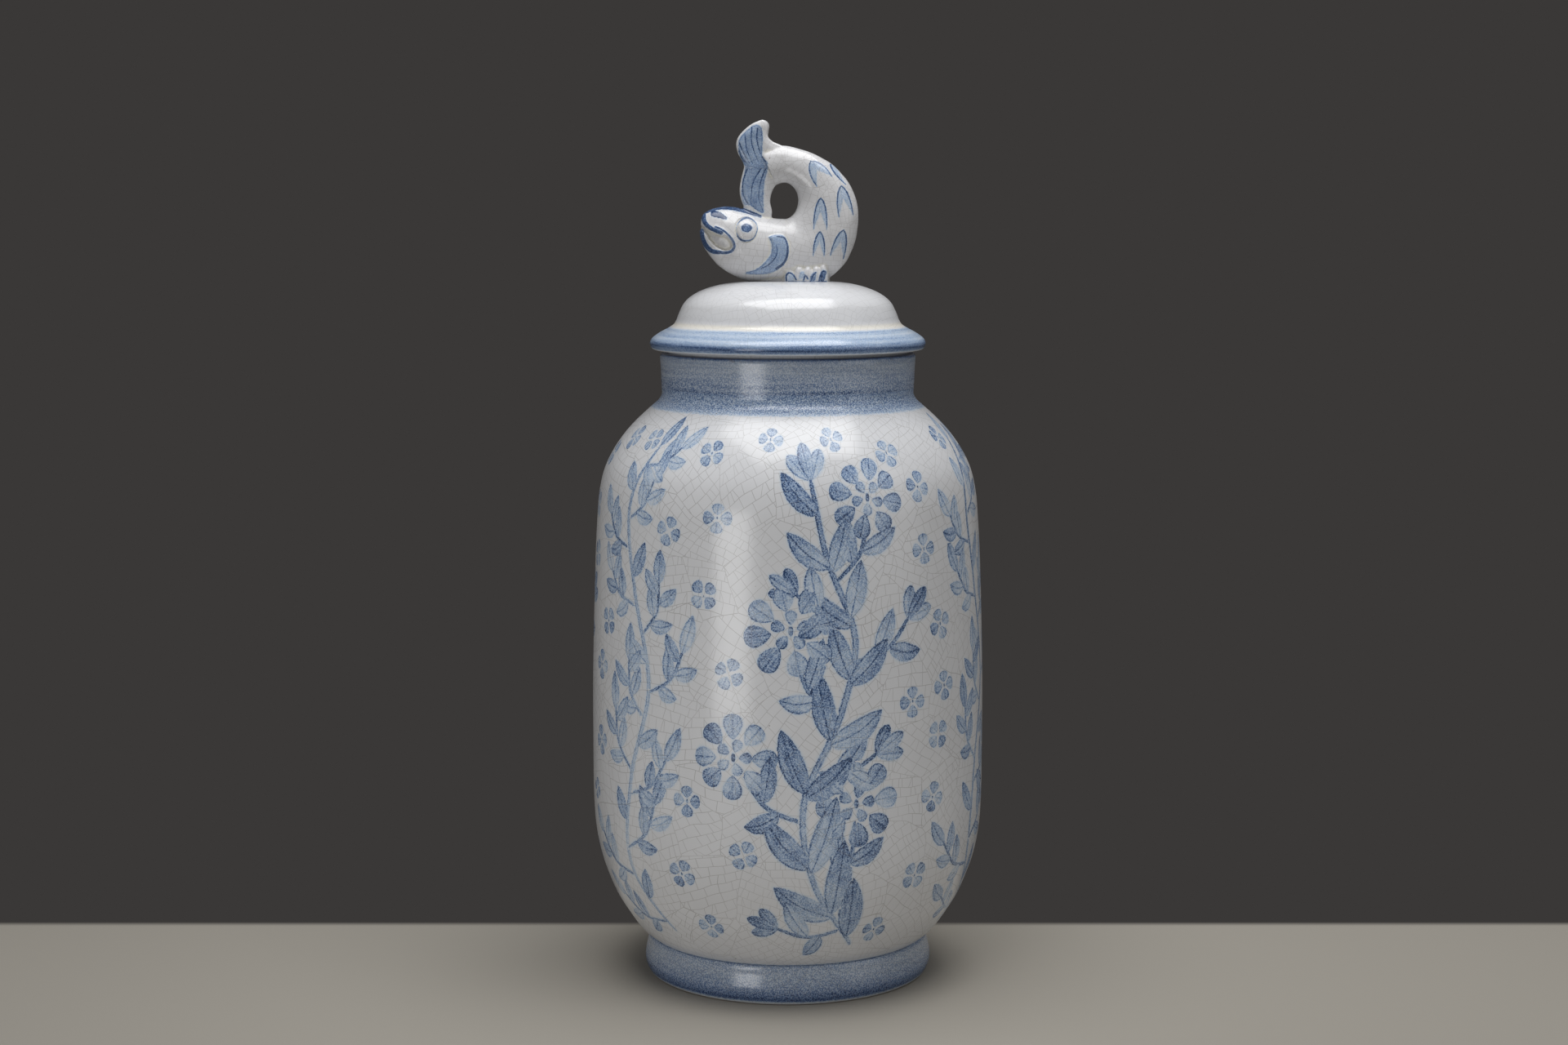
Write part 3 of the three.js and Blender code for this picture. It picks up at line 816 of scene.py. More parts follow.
@dataclass
class FloweringSprays:
    """Cobalt plants round the jar's wall: flowering and slender leafy stems by turns, with small florets between.

    They are drawn on the unrolled wall, with millimetres round from the front and millimetres up from the foot.
    """

    round_mm: float
    sprays: int = 6
    first_round_mm: float = 22.0
    rise_mm: float = 268.0
    base_mm: float = 18.0
    seed: int = 11
    strokes: list[Stroke] = field(default_factory=list)

    def __post_init__(self) -> None:
        """Starts the hand's own small unevenness."""
        self.hand = random.Random(self.seed)

    def add(self, points: Points, half_width: float, coat: Coat, **form) -> np.ndarray:
        """Lays one stroke through points and returns its line."""
        axis = np.array(smooth_line(points, 2.5))
        seed = self.hand.uniform(-1, 1)
        self.strokes.append(Stroke(axis, half_width, coat, seed=seed, **form))
        return axis

    def leaf(
        self, root: np.ndarray, angle: float, length: float, half_width: float, coat: Coat, tone: float
    ) -> None:
        """Lays a pointed leaf with a vein, bending a little upwards.

        Args:
            root: Where it leaves its stem.
            angle: The way it points, in radians from the way round.
            length: Its length.
            half_width: Half its greatest width.
            coat: The coat that it belongs to.
            tone: How dark it is, from 0 to 1.
        """
        angle += self.hand.uniform(-0.12, 0.12)
        length *= self.hand.uniform(0.88, 1.12)
        way = heading(angle)
        lift = np.array([0, 0.16 * length])
        points = [root + way * 0.6, root + way * length * 0.55, root + way * length + lift]
        self.add(points, half_width, coat, skew=0.85, roundness=0.8, vein=1.0, strength=tone)

    def blossom(self, centre: np.ndarray, radius: float, petals: int, tone: float) -> None:
        """Lays an open flower: rounded petals round a ring of small ones and a dark heart.

        Args:
            centre: Its middle.
            radius: Its reach.
            petals: An even number of petals.
            tone: How dark it is, from 0 to 1.
        """
        turn = self.hand.uniform(0, 1)
        wide = radius * math.sin(math.pi / petals) * 0.62
        inner = 0.42 if radius > 9 else 0.2
        for i in range(petals):
            angle = FULL_TURN * (i + turn) / petals + self.hand.uniform(-0.05, 0.05)
            way = heading(angle)
            reach = radius * self.hand.uniform(0.93, 1.05)
            points = [centre + way * radius * inner, centre + way * reach]
            coat = (Coat.LEFT, Coat.RIGHT)[i % 2]
            self.add(points, wide, coat, skew=1.5, roundness=0.5, vein=0.7, strength=tone)
        if radius > 9:
            for i in range(5):
                way = heading(FULL_TURN * (i + turn) / 5)
                points = [centre + way * radius * 0.13, centre + way * radius * 0.44]
                self.add(points, radius * 0.13, Coat.STEMS, skew=1.5, roundness=0.5, strength=tone)
        heart = [centre + (-radius * 0.05, 0), centre + (radius * 0.05, 0)]
        self.add(heart, radius * 0.09 + 0.3, Coat.LEFT, roundness=0.3, strength=1.5)

    def bud(self, root: np.ndarray, angle: float, size: float, tone: float) -> None:
        """Lays a closed flower: a middle petal between two side ones, on a small calyx."""
        for spread, coat in ((0.0, Coat.RIGHT), (0.52, Coat.LEFT), (-0.52, Coat.LEFT)):
            way = heading(angle + spread)
            reach = size * (1.0 if spread == 0 else 0.86)
            points = [root + way * 1.4, root + way * reach]
            self.add(points, size * 0.19, coat, skew=1.25, roundness=0.62, vein=0.6, strength=tone)

    def along(self, line: np.ndarray, share: float) -> tuple[np.ndarray, float]:
        """Gives the place and the direction at a share of the way along a stem."""
        index = min(int(share * (len(line) - 1)), len(line) - 2)
        way = line[index + 1] - line[index]
        return line[index], math.atan2(way[1], way[0])

    def twig(self, root: np.ndarray, angle: float, length: float, curl: float, half_width: float) -> np.ndarray:
        """Lays a side stem that curls and returns its line."""
        way, end = heading(angle), heading(angle + curl)
        points = [root, root + way * length * 0.5, root + (way + end) * length * 0.5]
        return self.add(points, half_width, Coat.STEMS, strength=1.0)

    def flowering(self, base: float, side: int) -> None:
        """Draws a tall stem with broad leaves, open flowers and buds.

        Args:
            base: Its place round the wall.
            side: 1 or -1, the side that its first branch grows to.
        """
        shape = ((18, 0.0), (-8, 0.15), (-14, 0.31), (4, 0.47), (13, 0.62), (-2, 0.78), (-10, 0.93))
        line = [(base + side * x, self.base_mm + z * self.rise_mm) for x, z in shape]
        stem = self.add(line, 1.8, Coat.STEMS)
        for share, hand, reach, flower in (
            (0.06, -1, 40, 14.0),
            (0.15, 1, 46, 23.0),
            (0.31, -1, 42, 22.0),
            (0.42, 1, 36, 14.5),
            (0.53, -1, 44, 24.0),
            (0.64, 1, 40, 15.0),
            (0.74, -1, 30, 13.0),
            (0.8, 1, 40, 21.0),
        ):
            root, way = self.along(stem, share)
            out = -hand * side
            twig = self.twig(root, way + out * 1.15, reach, -out * 0.55, 1.25)
            tip, tip_way = self.along(twig, 1.0)
            if flower > 16:
                self.blossom(tip + heading(tip_way) * flower * 0.5, flower, 8, 0.95)
            else:
                self.bud(tip, tip_way, flower * 1.4, 1.0)
            for place, turn, coat in ((0.34, 1, Coat.LEFT), (0.55, -1, Coat.RIGHT)):
                spot, bearing = self.along(twig, place)
                self.leaf(spot, bearing + turn * 0.85, 22, 5.0, coat, 0.95)
        for share, hand in (
            (0.03, 1), (0.1, -1), (0.105, 1), (0.21, 1), (0.22, -1), (0.36, 1), (0.37, -1), (0.475, 1),
            (0.485, -1), (0.59, 1), (0.6, -1), (0.71, -1), (0.72, 1), (0.82, 1), (0.83, -1), (0.93, -1),
        ):
            root, way = self.along(stem, share)
            out = -hand * side
            coat = Coat.LEFT if out > 0 else Coat.RIGHT
            self.leaf(root, way + out * 0.68, 36 - 12 * share, 7.2 - 2.0 * share, coat, 1.0)
        tip, way = self.along(stem, 1.0)
        self.bud(tip, way, 23.0, 1.0)

    def leafy(self, base: float, side: int) -> None:
        """Draws a slender paler stem with curling twigs of small leaves.

        Args:
            base: Its place round the wall.
            side: 1 or -1, the side that its first twig grows to.
        """
        shape = ((-14, 0.0), (8, 0.14), (4, 0.32), (-10, 0.5), (2, 0.68), (10, 0.84), (-2, 0.98))
        line = [(base + side * x, self.base_mm + 4 + z * self.rise_mm) for x, z in shape]
        stem = self.add(line, 1.4, Coat.STEMS, strength=0.74)
        for i in range(18):
            share = 0.03 + i * 0.054
            out = side if i % 2 else -side
            root, way = self.along(stem, share)
            coat = Coat.LEFT if out > 0 else Coat.RIGHT
            if i % 3 == 1:
                self.leaf(root, way + out * 0.8, 18, 4.4, coat, 0.74)
                continue
            twig = self.twig(root, way + out * 1.0, 42 - 14 * share, -out * 0.6, 1.0)
            for place, turn in ((0.28, out), (0.46, -out), (0.63, out), (0.8, -out)):
                spot, bearing = self.along(twig, place)
                self.leaf(spot, bearing + turn * 0.85, 15, 3.9, Coat.LEFT if turn > 0 else Coat.RIGHT, 0.72)
            tip, bearing = self.along(twig, 1.0)
            self.leaf(tip, bearing, 17, 4.2, coat, 0.76)
        tip, way = self.along(stem, 1.0)
        self.leaf(tip, way, 18, 4.4, Coat.LEFT, 0.76)

    def florets(self) -> None:
        """Fills the gaps that the plants leave with small four-petalled flowers."""
        half, chance = self.round_mm / 2, self.hand.uniform
        spots = np.array([(chance(-half, half), chance(self.base_mm + 8, 290)) for _ in range(900)])
        room = np.full(len(spots), FAR)
        for stroke in self.strokes:
            for shift in (-self.round_mm, 0, self.round_mm):
                room = np.minimum(room, -stroke.edge_distance(*stroke.measure(spots + (shift, 0))))
        placed = []
        for spot, gap in zip(spots, room):
            if gap > 8.5 and all(math.dist(spot, other) > 24 for other in placed):
                self.blossom(spot, min(gap - 2.5, 8.0), 4, 0.8)
                placed.append(spot)

    def draw(self) -> None:
        """Draws every plant round the wall."""
        pitch = self.round_mm / self.sprays
        for i in range(self.sprays):
            base = self.first_round_mm + i * pitch
            if i % 2 == 0:
                self.flowering(base, 1)
            else:
                self.leafy(base, -1)
        self.florets()

    def lay(self, mesh: bpy.types.Mesh, rounds: np.ndarray, ups: np.ndarray, painted: np.ndarray) -> None:
        """Stores on each face the stroke that covers it, so that the glaze can draw it.

        Args:
            mesh: The body's mesh.
            rounds: For each corner of each four-sided face, the millimetres round the wall.
            ups: The same corners' millimetres up the wall.
            painted: The numbers of the faces that these rows belong to.
        """
        loops = read(mesh.polygons, "loop_start")
        middle_round, middle_up = rounds.mean(1), ups.mean(1)
        for coat in Coat:
            best = np.full(len(painted), -BLEED_MM)
            place = np.zeros((len(mesh.loops), 3))
            form = np.zeros((len(mesh.polygons), 3))
            tone = np.zeros((len(mesh.polygons), 3))
            for stroke in (s for s in self.strokes if s.coat is coat):
                low, high = stroke.axis.min(0), stroke.axis.max(0)
                centre = (low + high) / 2
                reach = (high - low) / 2 + stroke.half_width + 4
                away = (middle_round - centre[0] + self.round_mm / 2) % self.round_mm - self.round_mm / 2
                near = np.flatnonzero((abs(away) < reach[0]) & (abs(middle_up - centre[1]) < reach[1]))
                if not len(near):
                    continue
                shift = rounds[near] - middle_round[near, None] + away[near, None] + centre[0]
                spots = np.stack([shift, ups[near]], 2).reshape(-1, 2)
                along, across = stroke.measure(spots)
                inside = stroke.edge_distance(along, across).reshape(-1, 4).max(1)
                better = inside > best[near]
                faces = near[better]
                best[faces] = inside[better]
                along, across = along.reshape(-1, 4)[better], across.reshape(-1, 4)[better]
                corners = loops[painted[faces]][:, None] + np.arange(4)
                place[corners, 0] = along
                place[corners, 1] = across
                place[corners, 2] = stroke.half_width
                form[painted[faces]] = (stroke.length(), stroke.skew, stroke.roundness)
                tone[painted[faces]] = (stroke.strength, stroke.vein, stroke.seed)
            set_attribute(mesh, f"{coat.value}_place", "FLOAT_VECTOR", "CORNER", place)
            set_attribute(mesh, f"{coat.value}_form", "FLOAT_VECTOR", "FACE", form)
            set_attribute(mesh, f"{coat.value}_tone", "FLOAT_VECTOR", "FACE", tone)


@dataclass
class Jar:
    """The jar: a foot ring, a thrown body and a neck, which the potter joins with slip."""

    foot_height: float = 21.0
    foot_bore: float = 64.8
    base_recess: float = 7.0
    wall: float = 7.0
    inside_floor: float = 16.0
    neck_start: float = 318.5
    neck_bore: float = 60.2
    rim_height: float = 337.0
    rim_rounding: float = 2.6
    widest: float = 105.7
    fine_step: float = 0.7
    wall_step: float = 1.5
    lining_step: float = 8.0
    wheel: ThrownForm = field(default_factory=ThrownForm)
    foot_outline: tuple[tuple[float, float], ...] = (
        (74.6, 0.0), (75.4, 0.35), (76.6, 1.6), (77.7, 4.2), (78.15, 8.0), (77.5, 12.0), (76.6, 16.0), (76.2, 19.0),
        (75.6, 20.6), (74.8, 21.0),
    )
    wall_outline: tuple[tuple[float, float], ...] = (
        (75.2, 21.0), (76.4, 21.9), (78.4, 23.5), (81.4, 26.2), (88.3, 36.0), (93.2, 44.0), (97.6, 54.0),
        (101.7, 66.0), (104.4, 80.0), (105.5, 96.0), (105.7, 118.0), (105.7, 156.0), (105.2, 180.0), (104.5, 205.0),
        (103.7, 228.0), (102.6, 248.0), (101.1, 264.0), (98.1, 276.0), (93.1, 286.0), (87.5, 294.0), (82.2, 300.0),
        (76.5, 305.4), (72.2, 309.2), (69.0, 312.2), (67.5, 315.2), (67.6, 318.5),
    )
    neck_outline: tuple[tuple[float, float], ...] = (
        (67.6, 318.5), (67.8, 322.0), (68.0, 328.0), (68.3, 333.0), (68.4, 335.0),
    )
    bands: tuple[tuple[float, float, float], ...] = (
        (0.0, 0.03, 0.2),
        (1.2, 0.03, 0.2),
        (2.2, 0.92, 0.16),
        (4.6, 0.78, 0.24),
        (8.0, 0.58, 0.36),
        (12.5, 0.4, 0.46),
        (16.5, 0.34, 0.5),
        (19.4, 0.38, 0.46),
        (21.2, 0.46, 0.5),
        (21.8, 0.0, 0.42),
        (307.9, 0.0, 0.42),
        (309.3, 0.42, 0.66),
        (313.0, 0.47, 0.6),
        (317.4, 0.5, 0.54),
        (319.2, 0.6, 0.42),
        (321.0, 0.5, 0.5),
        (324.5, 0.44, 0.48),
        (328.5, 0.36, 0.42),
        (333.0, 0.33, 0.34),
        (335.6, 0.38, 0.3),
        # The near-black strip from 336.4 mm up is painted shadow: it darkens the neck's rim in the gap under the
        # lid's brim.
        (336.4, 1.0, 0.0),
        (338.0, 1.0, 0.0),
    )
    neck_net: Crazing = Crazing(plate=22.0, course=3.6, brick=4.6, width=0.22, strength=0.4)
    band_cobalt: tuple[tuple[float, str], ...] = (
        (0.0, "#D3D4D5"),
        (0.16, "#BDC5CF"),
        (0.36, "#9DAABD"),
        (0.56, "#7B8DAA"),
        (0.78, "#566D92"),
        (1.0, "#2C4066"),
    )

    def outline(self) -> Points:
        """Gives the whole jar's outline, from the foot to the rim."""
        return [*self.foot_outline, *self.wall_outline[1:], *self.neck_outline[1:]]

    def foot_ring(self) -> None:
        """Builds the rounded ring that the jar stands on."""
        bore, recess = self.foot_bore, 1.2
        outline = smooth_line(list(self.foot_outline), self.fine_step)
        bottom = [(bore, self.foot_height), (bore, recess), (bore + 0.4, 0.35), (bore + recess, 0.0)]
        section = bottom + [(70.0, 0.0)] + outline
        mesh = self.wheel.turn("foot_ring", section)
        mark_climb(mesh, self.outline(), spread=False)
        bare = np.array([1 if face.center.z < 0.45 and face.normal.z < -0.4 else 0 for face in mesh.polygons])
        mesh.polygons.foreach_set("material_index", bare)
        glaze = BandedGlaze("speckled_band_glaze", bands=self.bands, inner_radius=62.0, streaks=0.12,
                            cobalt=self.band_cobalt).material()
        clay = BiscuitClay("wiped_biscuit_clay").material()
        finished_piece("foot_ring_glazed", mesh, [glaze, clay], "jar", ["foot_ring"])

    def body(self) -> None:
        """Builds the thrown wall and floor, and paints it."""
        outer = smooth_line(list(self.wall_outline), self.wall_step)
        lining = smooth_line(list(self.wall_outline), self.lining_step)
        low, high = self.inside_floor + 5, self.neck_start - 5
        inner = [spot for spot in inner_line(lining, self.wall) if low < spot[1] < high]
        spigot = self.foot_bore - 0.3
        section = [(0.0, self.base_recess), (30.0, self.base_recess), (spigot, self.base_recess)]
        section += [(spigot, self.foot_height), *outer, (self.neck_bore, self.neck_start)]
        section += [(self.neck_bore, self.neck_start - 4), *reversed(inner)]
        section += [(spigot - 6, self.inside_floor + 1.0), (spigot - 12, self.inside_floor)]
        section += [(30.0, self.inside_floor), (0.0, self.inside_floor)]
        mesh = self.wheel.turn("jar_body", section)
        mark_climb(mesh, self.outline(), spread=False)
        sprays = FloweringSprays(FULL_TURN * self.widest)
        sprays.draw()
        self.paint(mesh, outer, sprays)
        finish = BrushedGlaze("brushed_cobalt_glaze", bands=self.bands, inner_radius=62.0, streaks=0.14)
        finished_piece("jar_body_painted", mesh, [finish.material()], "jar", ["jar_body"])

    def paint(self, mesh: bpy.types.Mesh, outer: Points, sprays: FloweringSprays) -> None:
        """Finds the outer wall's faces on the unrolled wall and lays the strokes on them.

        Args:
            mesh: The body's mesh.
            outer: The outer wall's section, from the foot up.
            sprays: The plants.
        """
        heights = np.array([z for _, z in outer])
        travelled = np.concatenate([[0], np.cumsum(np.hypot(*np.diff(np.array(outer), axis=0).T))])
        places = vertex_places(mesh)
        count = read(mesh.polygons, "loop_total")
        middles = read(mesh.polygons, "center", np.float32, 3)
        reach = np.hypot(middles[:, 0], middles[:, 1])
        wall = np.interp(middles[:, 2], heights, [radius for radius, _ in outer])
        painted = np.flatnonzero((count == 4) & (reach > wall - 1.5) & (middles[:, 2] > self.foot_height + 0.5))
        starts = read(mesh.polygons, "loop_start")[painted]
        corners = places[read(mesh.loops, "vertex_index")[starts[:, None] + np.arange(4)]]
        front = math.pi / 2
        middle = np.arctan2(middles[painted, 1], middles[painted, 0]) + front
        angles = np.arctan2(corners[:, :, 1], corners[:, :, 0]) + front
        turned = (angles - middle[:, None] + math.pi) % FULL_TURN - math.pi
        rounds = (middle[:, None] + turned) * self.widest
        ups = np.interp(corners[:, :, 2], heights, travelled)
        sprays.lay(mesh, rounds, ups, painted)
        log.info("%d strokes on %d wall faces", len(sprays.strokes), len(painted))

    def neck(self) -> None:
        """Builds the short neck with its rounded rim."""
        outline = smooth_line(list(self.neck_outline), self.fine_step)
        top, turn = self.rim_height, self.rim_rounding
        outer_edge = outline[-1][0]
        rim = [(outer_edge - 0.5, top - 0.75), (outer_edge - 1.5, top - 0.15), (outer_edge - turn, top)]
        rim += [(self.neck_bore + turn, top), (self.neck_bore + 0.9, top - 0.4), (self.neck_bore + 0.15, top - 1.4)]
        rounded = smooth_line([outline[-1], *rim, (self.neck_bore, top - turn)], 0.35)
        section = outline + rounded[1:] + [(self.neck_bore, 327.0), (self.neck_bore, self.neck_start)]
        mesh = self.wheel.turn("neck", section)
        mark_climb(mesh, self.outline(), spread=False)
        glaze = BandedGlaze("banded_neck_glaze", bands=self.bands, inner_radius=62.0, streaks=0.3,
                            cobalt=self.band_cobalt, net=self.neck_net).material()
        finished_piece("neck_collar_glazed", mesh, [glaze], "jar", ["neck_collar"])

    def build(self) -> None:
        """Builds the whole jar."""
        self.foot_ring()
        self.body()
        self.neck()


@dataclass
class Lid:
    """The lid: a hollow dome on a sloping brim, with a flange below that drops into the neck."""

    seat_height: float = 337.0
    dome_top: float = 375.0
    flange_radius: float = 56.7
    flange_bore: float = 51.7
    flange_drop: float = 14.0
    wall: float = 6.0
    fine_step: float = 0.8
    lining_step: float = 3.0
    wheel: ThrownForm = field(default_factory=ThrownForm)
    outline: tuple[tuple[float, float], ...] = (
        (70.2, 338.6), (72.2, 339.1), (73.4, 340.6), (73.75, 342.4), (72.9, 344.4), (70.6, 346.4), (67.4, 348.4),
        (63.6, 350.4), (61.0, 352.2), (59.6, 354.4), (58.6, 357.0), (57.3, 360.0), (55.7, 363.0), (52.7, 366.2),
        (48.0, 369.2), (41.8, 371.7), (35.9, 373.3), (29.7, 374.3), (23.5, 374.85), (12.0, 375.0), (0.0, 375.0),
    )
    bands: tuple[tuple[float, float, float], ...] = (
        (336.0, 0.0, 0.1),
        (339.2, 0.02, 0.1),
        (340.2, 0.56, 0.16),
        (341.4, 0.76, 0.14),
        (342.9, 0.64, 0.16),
        (344.2, 0.44, 0.2),
        (345.6, 0.28, 0.24),
        (347.0, 0.34, 0.24),
        (348.6, 0.26, 0.24),
        (350.0, 0.34, 0.3),
        (351.1, 0.0, 0.3),
        (352.0, 0.0, 0.3),
    )
    net: Crazing = Crazing(plate=24.0, course=4.6, brick=5.6, width=0.22, strength=0.24, split_share=0.4, lean=4.0)

    def cover(self) -> None:
        """Builds the dome and brim."""
        outer = smooth_line(list(self.outline), self.fine_step)
        dome = [spot for spot in smooth_line(list(self.outline), self.lining_step) if spot[1] > 353]
        inner = [spot for spot in inner_line(dome, self.wall) if spot[0] > 2]
        section = [(0.0, self.dome_top - self.wall), *reversed(inner)]
        section += [(self.flange_bore, 351.0), (self.flange_bore, 344.0)]
        section += [(self.flange_bore, self.seat_height), (60.0, self.seat_height), (64.2, self.seat_height)]
        section += [(64.8, self.seat_height + 1.3), (67.5, self.seat_height + 1.5), *outer]
        mesh = self.wheel.turn("lid_cover", section)
        mark_climb(mesh, outer[::-1], spread=True)
        glaze = BandedGlaze("brushed_brim_glaze", bands=self.bands, inner_radius=57.5, ragged_mm=1.0, streaks=0.45,
                            cream=(350.2, 354.4), roughness=0.19, thick="#DDDAD2", net=self.net,
                            unrolling=Unrolling.SPREAD)
        finished_piece("lid_cover_glazed", mesh, [glaze.material()], "lid", ["lid_cover"])

    def flange(self) -> None:
        """Builds the locating ring under the lid."""
        low, top = self.seat_height - self.flange_drop, self.seat_height
        bore, edge, turn = self.flange_bore, self.flange_radius, 1.4
        rounded = [(bore, low + turn), (bore + 0.4, low + 0.4), (bore + turn, low), (edge - turn, low)]
        rounded += [(edge - 0.4, low + 0.4), (edge, low + turn)]
        section = [(bore, top), *smooth_line(rounded, 0.5), (edge, low + 6), (edge, top)]
        mesh = self.wheel.turn("lid_flange", section)
        glaze = TinGlaze("white_tin_glaze", unrolling=Unrolling.SOLID).material()
        finished_piece("lid_flange_glazed", mesh, [glaze], "lid", ["lid_flange"])

    def build(self) -> None:
        """Builds the lid without its knob."""
        self.cover()
        self.flange()


@dataclass(frozen=True)
class ScaleMark:
    """A painted scale on the fish's flank: a pointed arch, open towards the head, with a pale wash inside."""

    x: float
    z: float
    width: float
    length: float
    tilt: float

    def fields(self, spots: np.ndarray) -> tuple[np.ndarray, np.ndarray]:
        """Measures the mark's line and wash.

        Args:
            spots: Rows of X and Z in millimetres.

        Returns:
            How far inside the line and inside the wash each spot lies, in millimetres.
        """
        turn = math.radians(self.tilt)
        dx, dz = spots[:, 0] - self.x, spots[:, 1] - self.z
        up = dx * math.sin(turn) + dz * math.cos(turn)
        across = abs(dx * math.cos(turn) - dz * math.sin(turn))
        down = 0.5 - up / self.length
        held = np.clip(down, 0, 1)
        arch = np.sqrt(1 - (1 - np.clip(held / 0.8, 0, 1)) ** 2)
        half = self.width / 2 * arch ** 1.3
        over = abs(down - held) * self.length
        line = 0.46 - 0.26 * held - np.hypot(abs(across - half), over)
        gap = self.width * 0.9 * np.clip(held - 0.42, 0, 1)
        wash = np.minimum(half - across, across - gap) - over
        return line, wash


def line_distance(spots: np.ndarray, line: Points) -> tuple[np.ndarray, np.ndarray]:
    """Measures how far spots lie from an open line.

    Args:
        spots: Rows of X and Z.
        line: The line's points.

    Returns:
        Each spot's distance, and the share of the way along the line that it is nearest to.
    """
    stroke = Stroke(np.array(smooth_line(line, 0.8)), 0.0, Coat.STEMS)
    along, across = stroke.measure(spots)
    over = (along - np.clip(along, 0, 1)) * stroke.length()
    return np.hypot(across, over), np.clip(along, 0, 1)


def region_depth(spots: np.ndarray, outline: Points) -> np.ndarray:
    """Measures how deep spots lie inside a closed outline.

    Args:
        spots: Rows of X and Z.
        outline: The outline's corners, which a smooth curve passes through.

    Returns:
        Millimetres inside the outline, negative outside it.
    """
    ring = np.array(smooth_line([*outline, outline[0]], 0.8))
    starts, ends = ring[:-1], ring[1:]
    steps = ends - starts
    offsets = spots[:, None] - starts
    share = np.clip((offsets * steps).sum(2) / (steps**2).sum(1), 0, 1)
    away = np.sqrt(((offsets - share[:, :, None] * steps) ** 2).sum(2)).min(1)
    above = starts[:, 1] > spots[:, 1, None]
    crosses = above != (ends[:, 1] > spots[:, 1, None])
    slope = steps[:, 0] / np.where(steps[:, 1] == 0, 1e-9, steps[:, 1])
    passed = spots[:, 0, None] < starts[:, 0] + slope * (spots[:, 1, None] - starts[:, 1])
    inside = (crosses & passed).sum(1) % 2 == 1
    return np.where(inside, away, -away)


